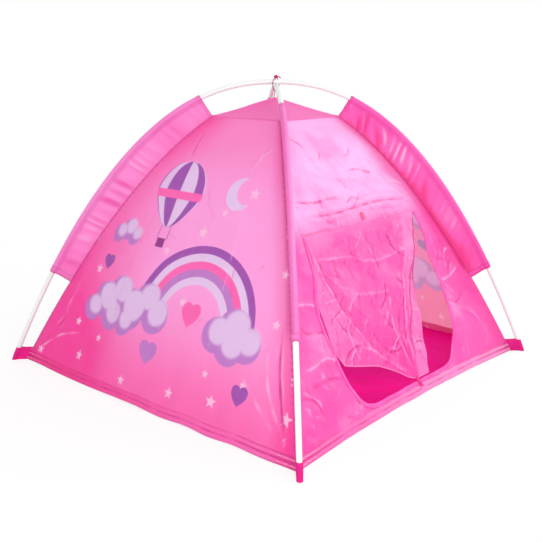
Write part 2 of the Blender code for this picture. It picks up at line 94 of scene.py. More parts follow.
class Slot(Enum):
    """The record's material slots."""

    TUBE = "pole_tube"
    PLASTIC = "end_plastic"
    DOOR = "door_cloth"
    PRINTED = "printed_cloth"
    TRIM = "trim_cloth"
    BAND = "band_cloth"
    DEEP = "deep_cloth"


class Side(Enum):
    """The four walls, each with its turn about the upright axis from the wall that faces -Y."""

    DOOR = ("door", 0.0)
    RIGHT = ("right", math.pi / 2)
    BACK = ("back", math.pi)
    LEFT = ("left", -math.pi / 2)

    @property
    def label(self) -> str:
        """The wall's name."""
        return self.value[0]

    @property
    def turn(self) -> float:
        """The wall's turn in radians."""
        return self.value[1]


# Shader graphs.


def pigment(code: str) -> Colour:
    """The linear colour of a six-digit screen colour."""
    share = np.array([int(code[start : start + 2], 16) for start in (0, 2, 4)]) / 255
    linear = np.where(share <= 0.04045, share / 12.92, ((share + 0.055) / 1.055) ** 2.4)
    return tuple(float(value) for value in linear)


@dataclass(frozen=True, eq=False)
class Value:
    """A node's output that takes part in arithmetic; each operation on it adds a Math node."""

    graph: Graph
    socket: bpy.types.NodeSocket

    def __add__(self, other: Value | float) -> Value:
        """Sum."""
        return self.graph.maths("ADD", self, other)

    __radd__ = __add__

    def __sub__(self, other: Value | float) -> Value:
        """Difference."""
        return self.graph.maths("SUBTRACT", self, other)

    def __rsub__(self, other: float) -> Value:
        """Difference from a number."""
        return self.graph.maths("SUBTRACT", other, self)

    def __mul__(self, other: Value | float) -> Value:
        """Product."""
        return self.graph.maths("MULTIPLY", self, other)

    def __truediv__(self, other: Value | float) -> Value:
        """Quotient."""
        return self.graph.maths("DIVIDE", self, other)

    def __neg__(self) -> Value:
        """The value with its sign turned."""
        return self * -1.0

    def __abs__(self) -> Value:
        """Size without its sign."""
        return self.graph.maths("ABSOLUTE", self)

    def sine(self) -> Value:
        """Sine of the value in radians."""
        return self.graph.maths("SINE", self)

    def root(self) -> Value:
        """Square root."""
        return self.graph.maths("SQRT", self)

    def at_least(self, other: Value | float) -> Value:
        """The larger of two values."""
        return self.graph.maths("MAXIMUM", self, other)

    def at_most(self, other: Value | float) -> Value:
        """The smaller of two values."""
        return self.graph.maths("MINIMUM", self, other)

    def ramp(self, start: float, end: float) -> Value:
        """A smooth step from 0 at start to 1 at end."""
        inputs = {"Value": self, "From Min": start, "From Max": end}
        return self.graph.node("ShaderNodeMapRange", inputs, {"interpolation_type": "SMOOTHSTEP"})

    def output(self, name: str) -> Value:
        """Another output of the same node."""
        return Value(self.graph, self.socket.node.outputs[name])


class Graph:
    """The node tree of one material."""

    def __init__(self, name: str) -> None:
        """Start an empty tree for the material of that name."""
        self.material = bpy.data.materials.new(name)
        self.material.use_nodes = True
        self.tree = self.material.node_tree
        self.tree.nodes.clear()

    def node(
        self, kind: str, inputs: dict | None = None, settings: dict | None = None, output: int | str = 0
    ) -> Value:
        """Add a node.

        Args:
            kind: the node's type.
            inputs: values or links of its sockets, by name or number.
            settings: its properties, set first; "stops" holds a ramp's (position, colour) pairs.
            output: the output that is returned.

        Returns:
            The chosen output.
        """
        node = self.tree.nodes.new(kind)
        for name, setting in (settings or {}).items():
            if name == "stops":
                self._set_stops(node.color_ramp, setting)
            else:
                setattr(node, name, setting)
        for name, value in (inputs or {}).items():
            self._feed(node.inputs[name], value)
        return Value(self, node.outputs[output])

    @staticmethod
    def _set_stops(ramp: bpy.types.ColorRamp, stops: Sequence[tuple[float, Colour]]) -> None:
        """Put (position, colour) stops into a new ramp, each holding its colour up to the next."""
        ramp.interpolation = "CONSTANT"
        for _ in stops[2:]:
            ramp.elements.new(1.0)
        for element, (position, colour) in zip(ramp.elements, stops):
            element.position = position
            element.color = (*colour, 1.0)

    def _feed(self, socket: bpy.types.NodeSocket, value: Value | float | Sequence[float]) -> None:
        """Link an output to an input, or set the input to a constant."""
        if isinstance(value, Value):
            self.tree.links.new(value.socket, socket)
        elif socket.type == "RGBA":
            socket.default_value = (*value[:3], 1.0)
        else:
            socket.default_value = value

    def maths(self, operation: str, *terms: Value | float) -> Value:
        """One Math node over the terms."""
        return self.node("ShaderNodeMath", dict(enumerate(terms)), {"operation": operation})

    def vector(self, operation: str, *terms: Value | Sequence[float], output: str = "Vector") -> Value:
        """One Vector Math node over the terms."""
        return self.node("ShaderNodeVectorMath", dict(enumerate(terms)), {"operation": operation}, output)

    def mix(self, share: Value | float, first: Value | Colour, second: Value | Colour) -> Value:
        """The first colour, with a share of the second laid over it."""
        return self.node("ShaderNodeMix", {0: share, 6: first, 7: second}, {"data_type": "RGBA"}, 2)

    def uv(self, name: str) -> Value:
        """A UV map of the piece."""
        return self.node("ShaderNodeUVMap", settings={"uv_map": name})

    def object_place(self) -> Value:
        """The place in the piece's own frame."""
        return self.node("ShaderNodeTexCoord", output="Object")

    def split(self, place: Value) -> tuple[Value, Value, Value]:
        """The three parts of a vector."""
        x = self.node("ShaderNodeSeparateXYZ", {0: place}, output="X")
        return x, x.output("Y"), x.output("Z")

    def noise(self, place: Value, scale: float, detail: float = 3.0, roughness: float = 0.55) -> Value:
        """Soft noise from 0 to 1, with that many features to a metre."""
        inputs = {"Vector": place, "Scale": scale, "Detail": detail, "Roughness": roughness}
        return self.node("ShaderNodeTexNoise", inputs)

    def bump(self, height: Value, distance: float, strength: float, under: Value | None = None) -> Value:
        """A normal from a height field, laid over another normal where one is given."""
        inputs = {"Height": height, "Distance": distance, "Strength": strength}
        return self.node("ShaderNodeBump", inputs | ({"Normal": under} if under else {}))

    def principled(self, colour: Value, roughness: Value, normal: Value, levels: dict[str, float]) -> Value:
        """A Principled shader with its colour, roughness, normal and other levels by socket name."""
        inputs = {"Base Color": colour, "Roughness": roughness, "Normal": normal}
        return self.node("ShaderNodeBsdfPrincipled", inputs | levels)

    def blend(self, share: Value | float, first: Value, second: Value) -> Value:
        """The first shader with a share of the second."""
        return self.node("ShaderNodeMixShader", {0: share, 1: first, 2: second})

    def surface(self, shader: Value) -> Material:
        """Close the tree with the finished shader, and return its material."""
        out = self.tree.nodes.new("ShaderNodeOutputMaterial")
        self.tree.links.new(shader.socket, out.inputs["Surface"])
        return self.material


# Finishes.


@dataclass(frozen=True)
class Polyester:
    """Thin shiny woven polyester, which lets some light through.

    The colour drifts between two dyes, threads show in the bump, and small crinkles catch the light. A
    painted highlight lies on sharp ridges, and a painted shade in sharp valleys and along seams.
    """

    name: str
    light: Colour
    deep: Colour
    roughness: float = 0.40
    see_through: float = 0.50
    glow: Colour = pigment("FFE6F6")
    # Colours of the painted highlight on ridges and of the painted shade in valleys and along seams.
    shine: Colour = pigment("FFDDF6")
    shade: Colour = pigment("D0248C")
    thread_pitch: float = 0.0008
    thread_depth: float = 0.00004
    crinkle_scale: float = 26.0
    crinkle_depth: float = 0.0011
    sheen: float = 0.12
    gloss: float = 0.5
    painted_light_range: Pair = (0.15, 1.7)
    shine_share: float = 0.75
    shade_share: float = 0.85
    wear: float = 0.14

    def ground(self, graph: Graph, place: Value, across: Value, up: Value) -> Value:
        """The cloth's colour.

        Args:
            graph: the material's graph.
            place: the piece's UV in metres.
            across: place across the panel, -1 to 1.
            up: place up the panel, 0 to 1.

        Returns:
            The colour.
        """
        drift = graph.noise(place, 3.2, 2.0)
        return graph.mix(drift.ramp(0.30, 0.75), self.deep, self.light)

    def material(self) -> Material:
        """Build the material."""
        graph = Graph(self.name)
        place = graph.uv("cloth")
        across, up, _ = graph.split(graph.uv("panel"))
        u, v, _ = graph.split(place)
        colour = self.ground(graph, place, across, up)
        painted_light = graph.node("ShaderNodeAttribute", settings={"attribute_name": "painted_light"}, output="Fac")
        # Painted highlight on sharp ridges, and painted shade in sharp valleys and along seams, from the
        # piece's painted light.
        colour = graph.mix(painted_light.ramp(*self.painted_light_range) * self.shine_share, colour, self.shine)
        colour = graph.mix((-painted_light).ramp(*self.painted_light_range) * self.shade_share, colour, self.shade)

        threads = (u * (TURN / self.thread_pitch)).sine() * (v * (TURN / self.thread_pitch)).sine()
        crinkles = graph.noise(place, self.crinkle_scale, 4.0, 0.5)
        normal = graph.bump(crinkles, self.crinkle_depth, 0.8, graph.bump(threads, self.thread_depth, 0.6))
        roughness = graph.noise(place, 11.0, 3.0) * self.wear + (self.roughness - self.wear / 2)
        levels = {"Specular IOR Level": self.gloss, "Sheen Weight": self.sheen, "Sheen Roughness": 0.35}
        skin = graph.principled(colour, roughness, normal, levels)
        through = graph.node("ShaderNodeBsdfTranslucent", {"Color": self.glow})
        return graph.surface(graph.blend(self.see_through, skin, through))


@dataclass(frozen=True)
class DoorPolyester(Polyester):
    """The door wall's cloth: paler up the wall, partly as a painted highlight of its sheen, deeper toward
    its right edge, and with a painted shadow beside the right sleeve's root.
    """

    edge: Colour = pigment("FF3CAE")
    # Colour of the painted shadow of the right sleeve's root, along the wall's right edge.
    seam: Colour = pigment("E4007C")

    def ground(self, graph: Graph, place: Value, across: Value, up: Value) -> Value:
        """The colour, from the deep dye at the foot to the light one above the door, which is partly a
        painted highlight of the sheen there; see Polyester.
        """
        drift = graph.noise(place, 4.0, 3.0)
        height = up + (drift - 0.5) * 0.16
        body = graph.mix(height.ramp(0.58, 0.76), self.deep, self.light)
        # Painted light and shade of broad wrinkles, as random paler and deeper patches.
        patch = graph.noise(place, 7.0, 1.5)
        body = graph.mix(patch.ramp(0.50, 0.72) * 0.30, body, self.light)
        body = graph.mix((1.0 - patch).ramp(0.50, 0.70) * 0.30, body, self.edge)
        corner = (-across).ramp(0.30, 0.95) * (1.0 - height.ramp(0.15, 0.50))
        body = graph.mix(corner * 0.40, body, self.edge)
        body = graph.mix(across.ramp(0.62, 1.02) * 0.7, body, self.edge)
        # A painted shadow of the right sleeve's root, along the wall's right edge beside the sleeve.
        seam = across.ramp(0.940, 0.968) * up.ramp(0.33, 0.40) * (1.0 - up.ramp(0.50, 1.0) * 0.75)
        return graph.mix(seam * 0.92, body, self.seam)


@dataclass(frozen=True)
class FlapPolyester(DoorPolyester):
    """The door flap's cloth, with painted light and shade: paler left of its long fold, deeper toward the
    gather at its foot.
    """

    seam_run: float = 0.53
    fold_start: float = -0.285
    fold_slope: float = 0.059
    fold_bend: float = 1.124

    def ground(self, graph: Graph, place: Value, across: Value, up: Value) -> Value:
        """The door wall's colour with painted light and shade of the flap's folds over it; see Polyester.

        The long fold runs down from the flap's top left corner, at x = start + slope w + bend w^2 at a
        distance w under the top seam.
        """
        body = super().ground(graph, place, across, up)
        x, y, _ = graph.split(place)
        below = self.seam_run - y + (graph.noise(place, 12.0, 2.0) - 0.5) * 0.02
        fold = x - self.fold_start - below * self.fold_slope - below * below * self.fold_bend
        # Painted light left of the long fold, painted shade in a band right of it, a paler strip toward the
        # right edge, and painted shade toward the gathered foot.
        body = graph.mix((-fold).ramp(-0.006, 0.006) * 0.26, body, self.light)
        beside = fold.ramp(-0.004, 0.008) * (1.0 - fold.ramp(0.035, 0.100)) * below.ramp(0.06, 0.12)
        body = graph.mix(beside * 0.45, body, self.edge)
        right = (x + below * 0.30 - 0.185).ramp(-0.008, 0.010)
        body = graph.mix(right * 0.28, body, self.light)
        return graph.mix(below.ramp(0.22, 0.44) * (1.0 - right) * 0.90, body, self.edge)


@dataclass(frozen=True)
class HemPolyester(Polyester):
    """A wall's foot band, deeper toward its left end and darker near both corners, where painted shade lies.
    """

    def ground(self, graph: Graph, place: Value, across: Value, up: Value) -> Value:
        """The colour, from the light dye on the right to the deep one, with painted shade near both ends;
        see Polyester.
        """
        drift = graph.noise(place, 6.0, 2.0) * 0.5
        body = graph.mix((drift - across).ramp(-0.25, 1.05), self.light, self.deep)
        # Painted shade near both corners.
        return graph.mix((abs(across) + drift * 0.3).ramp(0.86, 1.10) * 0.8, body, self.deep)


@dataclass(frozen=True)
class RolledHem(Polyester):
    """The flap's rolled edge: painted shade beside the upper doorway and a painted highlight round the foot.
    """

    def ground(self, graph: Graph, place: Value, across: Value, up: Value) -> Value:
        """The colour, by the place along the hem from the top left to the top right, with painted shade on
        the upper parts; see Polyester.
        """
        upper = (1.0 - across.ramp(0.16, 0.26)) + across.ramp(0.76, 0.86)
        return graph.mix(upper, self.light, self.deep)


@dataclass
class Canvas:
    """Cloth that is being printed. What is painted last lies on top."""

    graph: Graph
    place: Value
    ground: Value
    blur: float = 0.0016

    def __post_init__(self) -> None:
        """Take the place apart."""
        self.x, self.y, _ = self.graph.split(self.place)

    def distance(self, centre: Pair) -> Value:
        """Distance from a centre."""
        return self.graph.vector("DISTANCE", self.place, (*centre, 0.0), output="Value")

    def discs(
        self, discs: Sequence[tuple[float, float, float]], offset: Pair = (0.0, 0.0), scale: float = 1.0
    ) -> Value:
        """Depth inside the union of discs: the largest of each radius less the distance from its centre.

        Args:
            discs: x, y and radius of each.
            offset: a shift of all centres.
            scale: a factor on all radii.

        Returns:
            The depth in metres, below 0 outside.
        """
        depths = [radius * scale - self.distance((x + offset[0], y + offset[1])) for x, y, radius in discs]
        union = depths[0]
        for depth in depths[1:]:
            union = union.at_least(depth)
        return union

    def cover(self, depth: Value) -> Value:
        """How far a shape covers the ground, from its depth inside its outline in metres."""
        return depth.ramp(-self.blur / 2, self.blur / 2)

    def paint(self, depth: Value, colour: Value | Colour) -> None:
        """Lay a shape's colour over the ground."""
        self.ground = self.graph.mix(self.cover(depth), self.ground, colour)


@dataclass(frozen=True)
class SkyPrint(Polyester):
    """Printed polyester: a rainbow, a striped balloon, a moon, clouds, hearts and stars on shaded pink.

    The picture is drawn in the cloth's own metres, x from the panel's middle and y up from its foot.
    """

    lilac: Colour = pigment("B48AD8")
    violet: Colour = pigment("8450B8")
    plum: Colour = pigment("6A1B8A")
    pearl: Colour = pigment("E4E2FF")
    rose: Colour = pigment("FF6EC0")
    star: Colour = pigment("FFE2F6")
    banks = (
        ((-0.135, 0.262, 0.062), (-0.080, 0.300, 0.052), (-0.030, 0.262, 0.052), (-0.200, 0.300, 0.052),
         (-0.262, 0.268, 0.056), (-0.318, 0.232, 0.040), (-0.225, 0.225, 0.045), (-0.155, 0.218, 0.040)),
        ((0.215, 0.262, 0.050), (0.268, 0.286, 0.058), (0.325, 0.255, 0.048), (0.270, 0.238, 0.050)),
        ((-0.300, 0.475, 0.030), (-0.262, 0.492, 0.034), (-0.224, 0.474, 0.028)),
    )

    def ground(self, graph: Graph, place: Value, across: Value, up: Value) -> Value:
        """The printed picture's colour; see Polyester."""
        canvas = Canvas(graph, place, self._sky(graph, place, across, up))
        self._stars(canvas)
        self._rainbow(canvas, (0.105, 0.262), 0.118, 0.232)
        for puffs in self.banks:
            canvas.paint(canvas.discs(puffs), self.lilac)
            shine = canvas.discs(puffs, (0.008, 0.012), 0.80).ramp(-0.004, 0.010)
            canvas.ground = graph.mix(shine * 0.92, canvas.ground, self.pearl)
        self._balloon(canvas, (-0.105, 0.630), 0.098)
        # The moon is a crescent: a disc less a second one to its right.
        bite = canvas.discs(((0.161, 0.666, 0.041),))
        canvas.paint(canvas.discs(((0.135, 0.655, 0.050),)).at_most(-bite), self.pearl)
        self._heart(canvas, (-0.300, 0.375), 0.024, self.violet)
        self._heart(canvas, (-0.020, 0.150), 0.034, self.lilac)
        self._heart(canvas, (0.345, 0.120), 0.028, self.violet)
        self._heart(canvas, (0.105, 0.285), 0.036, self.rose)
        return canvas.ground

    def _sky(self, graph: Graph, place: Value, across: Value, up: Value) -> Value:
        """The printed ground: deep dye at the left edge and the foot, light toward the right, with a painted
        shadow of the sleeve along the right edge.
        """
        drift = (graph.noise(place, 3.0, 2.0) - 0.5) * 0.5
        left = (drift - across).ramp(0.05, 1.0) * (0.85 - up.ramp(0.35, 0.80) * 0.40)
        right = across.ramp(0.80, 1.02) * 0.45
        foot = 1.0 - (up + drift * 0.3).ramp(0.0, 0.46)
        head = (up + drift * 0.2).ramp(0.66, 1.0) * 0.40
        ground = graph.mix((left + right + foot * 0.70 + head).at_most(1.0), self.light, self.deep)
        # A painted shadow of the sleeve beside the right edge.
        return graph.mix(across.ramp(0.945, 0.968) * up.ramp(0.35, 0.38) * 0.35, ground, self.shade)

    def _stars(self, canvas: Canvas, cells: float = 7.0) -> None:
        """Scattered stars, one to a cell, whose edge bends in between five tips; cells go to a metre."""
        graph = canvas.graph
        point = graph.vector("SCALE", canvas.place)
        point.socket.node.inputs["Scale"].default_value = cells
        inputs = {"Vector": point, "Scale": 1.0, "Randomness": 0.8}
        cell = graph.node("ShaderNodeTexVoronoi", inputs, {"voronoi_dimensions": "2D", "feature": "F1"})
        local = graph.vector("SUBTRACT", point, cell.output("Position"))
        x, y, _ = graph.split(local)
        chance, size, _ = graph.split(cell.output("Color"))
        tip = abs(graph.maths("WRAP", graph.maths("ARCTAN2", x, y), TURN / 10, -TURN / 10))
        reach = (size * 0.060 + 0.088) * chance.ramp(0.25, 0.26) / (tip * 2.3 + 1.0)
        depth = (reach - graph.vector("LENGTH", local, output="Value")) / cells
        canvas.ground = graph.mix(canvas.cover(depth) * 0.9, canvas.ground, self.star)

    def _rainbow(self, canvas: Canvas, centre: Pair, inner: float, outer: float) -> None:
        """A half ring in coloured bands over its centre's level."""
        radius = canvas.distance(centre)
        bands = (self.pearl, self.lilac, self.rose, self.pearl, self.violet)
        stops = [(number / len(bands), colour) for number, colour in enumerate(bands)]
        band = (radius - inner) / (outer - inner)
        colour = canvas.graph.node("ShaderNodeValToRGB", {"Fac": band}, {"stops": stops})
        canvas.paint((radius - inner).at_most(outer - radius).at_most(canvas.y - centre[1]), colour)

    def _balloon(self, canvas: Canvas, centre: Pair, radius: float) -> None:
        """A balloon in gores that narrows to its mouth, with ropes and a basket."""
        graph, squash = canvas.graph, 0.84
        side, rise = canvas.x - centre[0], canvas.y - centre[1]
        swell = side * ((-rise).at_least(0.0) * 5.0 + 1.0)
        reach = (swell * swell + rise * rise * squash).root()
        gore = swell / (radius * radius - rise * rise * squash).at_least(0.0001).root()
        stripe = (graph.maths("ARCSINE", gore.at_most(1.0).at_least(-1.0)) * 5.0).sine()
        colour = graph.mix(stripe.ramp(-0.15, 0.15), self.violet, self.pearl)
        colour = graph.mix(canvas.cover(0.013 - abs(rise + 0.004)), colour, self.rose)

        rope = 0.0012 - abs(abs(side) + rise * 0.06 - 0.013)
        canvas.paint(rope.at_most(0.022 - abs(rise + radius * 1.27)), self.plum)
        canvas.paint((0.017 - abs(side)).at_most(0.014 - abs(rise + radius * 1.60)), self.plum)
        canvas.paint(radius - reach, colour)

    def _heart(self, canvas: Canvas, centre: Pair, size: float, colour: Colour) -> None:
        """A heart: a disc whose height is lifted by the root of the distance from its middle line."""
        side = abs(canvas.x - centre[0])
        rise = (canvas.y - centre[1]) * 1.15 - (side * size).root() * 0.72
        canvas.paint(size - (side * side + rise * rise).root(), colour)


@dataclass(frozen=True)
class Webbing:
    """Folded, stitched band cloth or woven strap, with ribs across it."""

    name: str
    colour: Colour
    shade: Colour
    rib_pitch: float = 0.0016
    rib_depth: float = 0.00010
    roughness: float = 0.55

    def material(self) -> Material:
        """Build the material."""
        graph = Graph(self.name)
        place = graph.uv("cloth")
        u, v, _ = graph.split(place)
        turns = TURN / self.rib_pitch
        ribs = (v * turns).sine() * 0.6 + (u * (turns * 1.7)).sine() * 0.4
        fuzz = graph.noise(place, 420.0, 3.0)
        # The tone varies at random, and the ribs add a faint painted light and shade to it.
        tone = graph.noise(place, 14.0, 3.0).ramp(0.25, 0.8) * 0.8 + ribs * 0.08
        colour = graph.mix(tone, self.shade, self.colour)
        roughness = fuzz * 0.2 + (self.roughness - 0.1)
        normal = graph.bump(ribs + fuzz * 0.7, self.rib_depth, 0.7)
        levels = {"Specular IOR Level": 0.25, "Sheen Weight": 0.10, "Sheen Roughness": 0.4}
        return graph.surface(graph.principled(colour, roughness, normal, levels))


@dataclass(frozen=True)
class Plastic:
    """Extruded or moulded plastic with faint draw lines, handling marks and dust, and darker toward the
    bottom.
    """

    name: str
    colour: Colour
    dust: Colour
    roughness: float = 0.28
    line_pitch: float = 0.0011

    def material(self) -> Material:
        """Build the material."""
        graph = Graph(self.name)
        place = graph.object_place()
        scuffs = graph.noise(place, 90.0, 5.0, 0.65)
        smudge = graph.noise(place, 7.0, 3.0)
        x, y, z = graph.split(place)
        lines = ((x + y) * (TURN / self.line_pitch)).sine() * 0.25 + scuffs
        marks = scuffs.ramp(0.60, 0.78) * 0.35 + smudge.ramp(0.45, 0.85) * 0.25
        # Darker toward the bottom, within 9 cm of the floor.
        foot = (1.0 - z.ramp(0.0, 0.09)) * 0.25
        colour = graph.mix(marks + foot, self.colour, self.dust)
        roughness = smudge * 0.22 + scuffs * 0.10 + (self.roughness - 0.14)
        levels = {"Coat Weight": 0.05, "Coat Roughness": 0.12}
        return graph.surface(graph.principled(colour, roughness, graph.bump(lines, 0.00006, 0.5), levels))


@dataclass(frozen=True)
class Twine:
    """Twisted cord or sewing thread, whose plies wind round it."""

    name: str
    colour: Colour
    shade: Colour
    ply_pitch: float = 0.0032

    def material(self) -> Material:
        """Build the material."""
        graph = Graph(self.name)
        place = graph.object_place()
        x, y, z = graph.split(place)
        plies = ((x * 0.7 + y * 0.8 + z) * (TURN / self.ply_pitch)).sine()
        fuzz = graph.noise(place, 900.0, 2.0)
        # Painted shade in the grooves between the plies.
        colour = graph.mix(plies.ramp(-0.8, 0.9), self.shade, self.colour)
        normal = graph.bump(plies + fuzz * 0.4, 0.0003, 0.6)
        return graph.surface(graph.principled(colour, fuzz * 0.2 + 0.5, normal, {}))


def made(kind: type, name: str, *dyes: str, **settings: str | float) -> Material:
    """A dataclass field that builds a finish when its owner is made.

    Args:
        kind: the finish's class.
        name: the material's name.
        dyes: the finish's two colours, as six-digit screen colours.
        settings: its other fields; a text is a screen colour as well.

    Returns:
        The field.
    """
    colours = [pigment(dye) for dye in dyes]
    others = {key: pigment(value) if isinstance(value, str) else value for key, value in settings.items()}
    return field(default_factory=lambda: kind(name, *colours, **others).material())


@dataclass
class Finishes:
    """Every finish on the tent, each made once."""

    print_cloth: Material = made(SkyPrint, "printed_polyester", "FFB6F0", "FF3CAA")
    door: Material = made(
        DoorPolyester, "door_polyester", "FFCCFF", "FF64C4", shine="FFC4EE", shade="E0389A"
    )
    flap: Material = made(
        FlapPolyester, "flap_polyester", "FFC0F4", "FF5CBC", shine="FFB4E8", shade="CC1C8C"
    )
    flap_edge: Material = made(RolledHem, "flap_edge_polyester", "FF9CD8", "D80C80", sheen=0.0, gloss=0.08)
    # Shaded and lit copies of one fin cloth: the right and back sleeves take the shaded one, the left and
    # front the lit one.
    fin: Material = made(Polyester, "fin_polyester", "FF74CE", "FF54BE", shade="F00086")
    pale_fin: Material = made(
        Polyester, "pale_fin_polyester", "FFA8E8", "FF88D6", shade="F050B0", shine="FFC8F0"
    )
    cap: Material = made(Polyester, "cap_polyester", "FF84D2", "FF68C4")
    floor: Material = made(
        Polyester, "floor_polyester", "FF0AB0", "FF00A0", roughness=0.5, see_through=0.05,
        shade="D80068", shine="FF3CA8", sheen=0.0, gloss=0.12,
    )
    hem: Material = made(HemPolyester, "hem_polyester", "FF70C4", "FA1E98")
    door_hem: Material = made(HemPolyester, "door_hem_polyester", "FFA6E2", "FF78CA", shade="DC007A")
    tape: Material = made(Webbing, "edge_tape", "FF68BE", "EE48A4", roughness=0.5)
    strap: Material = made(Webbing, "corner_strap", "F4088E", "C80074", rib_pitch=0.0022)
    closure: Material = made(Webbing, "closure_cloth", "F6489E", "DC2484", rib_depth=0.00004)
    tab: Material = made(Webbing, "tab_strap", "EA6A98", "D85082", rib_depth=0.00004)
    tube: Material = made(Plastic, "white_tube", "E4E8E4", "BEC2BE", roughness=0.40)
    plug: Material = made(Plastic, "grey_plastic", "C4C0C2", "9A9698", roughness=0.4)
    cord: Material = made(Twine, "pink_cord", "D01A78", "960050")
    deep_thread: Material = made(Twine, "deep_thread", "D81C8A", "A80060", ply_pitch=0.0009)
    thread: Material = made(Twine, "pink_thread", "FF7AC4", "E84AA4", ply_pitch=0.0009)


# Surfaces.


@dataclass
class Surface:
    """Faces in arrays: corner points, each face's vertex numbers in one row, their counts, their UVs and
    painted light.
    """

    points: Array
    corners: Array
    sizes: Array
    uv: Array
    panel: Array
    painted_light: Array

    @classmethod
    def grid(
        cls,
        points: Array,
        uv: Array | None = None,
        panel: Array | None = None,
        painted_light: Array | None = None,
        close_rows: bool = False,
        close_columns: bool = False,
        cap_ends: bool = False,
    ) -> Surface:
        """Quads over a grid of points, facing the way that columns turned onto rows point.

        Args:
            points: rows by columns by 3.
            uv: metres on the cloth; one row or column longer where the grid is closed that way.
            panel: relative place on the panel, in the same shape.
            painted_light: painted light at each point: above 0 a painted highlight, as on sharp ridges, and
                below 0 a painted shade, as in valleys and along seams.
            close_rows: join the last row to the first.
            close_columns: join the last column to the first.
            cap_ends: close the first and the last row with one face each.

        Returns:
            The surface.
        """
        rows, columns = points.shape[:2]
        row, column = np.meshgrid(
            np.arange(rows if close_rows else rows - 1),
            np.arange(columns if close_columns else columns - 1),
            indexing="ij",
        )
        steps = ((0, 0), (0, 1), (1, 1), (1, 0))
        corner_rows = np.stack([row + down for down, _ in steps], -1).reshape(-1, 4)
        corner_columns = np.stack([column + along for _, along in steps], -1).reshape(-1, 4)
        corners = (corner_rows % rows) * columns + corner_columns % columns
        uv = unrolled(points, close_rows, close_columns) if uv is None else uv
        panel = np.zeros_like(uv) if panel is None else panel
        surface = cls(
            points.reshape(-1, 3),
            corners.reshape(-1),
            np.full(len(corners), 4),
            uv[corner_rows, corner_columns].reshape(-1, 2),
            panel[corner_rows, corner_columns].reshape(-1, 2),
            np.zeros(rows * columns) if painted_light is None else painted_light.reshape(-1),
        )
        if cap_ends:
            around = np.arange(columns)
            for loop in (around[::-1], around + (rows - 1) * columns):
                flat = surface.points[loop]
                surface = surface.with_face(loop, (flat - flat.mean(0))[:, :2])
        return surface

    def with_face(self, loop: Array, uv: Array) -> Surface:
        """The surface with one more face on its own points."""
        return Surface(
            self.points,
            np.concatenate([self.corners, loop]),
            np.append(self.sizes, len(loop)),
            np.concatenate([self.uv, uv]),
            np.concatenate([self.panel, np.zeros_like(uv)]),
            self.painted_light,
        )

    @classmethod
    def join(cls, surfaces: Sequence[Surface]) -> Surface:
        """One surface of several."""
        starts = np.cumsum([0] + [len(surface.points) for surface in surfaces[:-1]])
        corners = np.concatenate([surface.corners + start for surface, start in zip(surfaces, starts)])
        points, sizes, uv, panel, painted_light = (
            np.concatenate([getattr(surface, part) for surface in surfaces])
            for part in ("points", "sizes", "uv", "panel", "painted_light")
        )
        return cls(points, corners, sizes, uv, panel, painted_light)

    def put(
        self,
        name: str,
        finish: Material,
        slot: Slot,
        *nodes: str,
        body: Body = Body.TENT,
        thickness: float = 0.0,
        offset: float = -1.0,
    ) -> Object:
        """Make the arrays a piece: a mesh object at the origin that rides on its body.

        Args:
            name: the piece's name.
            finish: its material.
            slot: the record's slot; not used.
            nodes: the CAD nodes that it replaces.
            body: what it moves with.
            thickness: a sheet's thickness.
            offset: where the thickness lies: behind the face at -1, before it at 1.

        Returns:
            The piece.
        """
        piece = in_scene(name, self._mesh(name))
        piece.data.materials.append(finish)
        if thickness:
            solidify = piece.modifiers.new("thickness", "SOLIDIFY")
            solidify.thickness = thickness
            solidify.offset = offset
            solidify.use_even_offset = False
        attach(piece, body.value)
        if nodes:
            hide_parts(*nodes)
        log.info("%s: %d faces", name, len(self.sizes))
        return piece

    def _mesh(self, name: str) -> bpy.types.Mesh:
        """The arrays as a smooth mesh with its UV maps and its painted light."""
        mesh = bpy.data.meshes.new(name)
        mesh.vertices.add(len(self.points))
        mesh.vertices.foreach_set("co", self.points.astype(np.float32).ravel())
        mesh.loops.add(len(self.corners))
        mesh.loops.foreach_set("vertex_index", self.corners.astype(np.int32))
        mesh.polygons.add(len(self.sizes))
        starts = np.concatenate([[0], np.cumsum(self.sizes)[:-1]])
        mesh.polygons.foreach_set("loop_start", starts.astype(np.int32))
        mesh.update(calc_edges=True)
        for title, values in (("cloth", self.uv), ("panel", self.panel)):
            layer = mesh.uv_layers.new(name=title)
            layer.uv.foreach_set("vector", values.astype(np.float32).ravel())
        painted_light = mesh.attributes.new("painted_light", "FLOAT", "POINT")
        painted_light.data.foreach_set("value", self.painted_light.astype(np.float32))
        mesh.validate()
        mesh.shade_smooth()
        mesh.set_sharp_from_angle(angle=math.radians(50))
        return mesh


def in_scene(name: str, data: bpy.types.ID) -> Object:
    """An object that shows the data in the scene."""
    thing = bpy.data.objects.new(name, data)
    bpy.context.scene.collection.objects.link(thing)
    return thing


def unrolled(points: Array, close_rows: bool, close_columns: bool) -> Array:
    """UVs in metres from running lengths: across from the middle row, along from the middle column.

    Args:
        points: rows by columns by 3.
        close_rows: whether the grid closes that way, which needs one more row.
        close_columns: whether it closes the other way, which needs one more column.

    Returns:
        The UVs of the grid's corners.
    """
    if close_rows:
        points = np.concatenate([points, points[:1]], 0)
    if close_columns:
        points = np.concatenate([points, points[:, :1]], 1)
    across = running_length(points[points.shape[0] // 2])
    along = running_length(points[:, points.shape[1] // 2])
    return np.stack(np.meshgrid(across, along, indexing="xy"), -1)


def running_length(path: Array) -> Array:
    """Length along a path at each of its points."""
    return np.concatenate([[0.0], np.cumsum(np.linalg.norm(np.diff(path, axis=0), axis=-1))])


def at_stations(path: Array, stations: Array, values: Array | None = None) -> Array:
    """The points of a path, or its values where they are given, at running lengths."""
    lengths = running_length(path)
    parts = path.T if values is None else values.T
    return np.stack([np.interp(stations, lengths, part) for part in parts], -1)


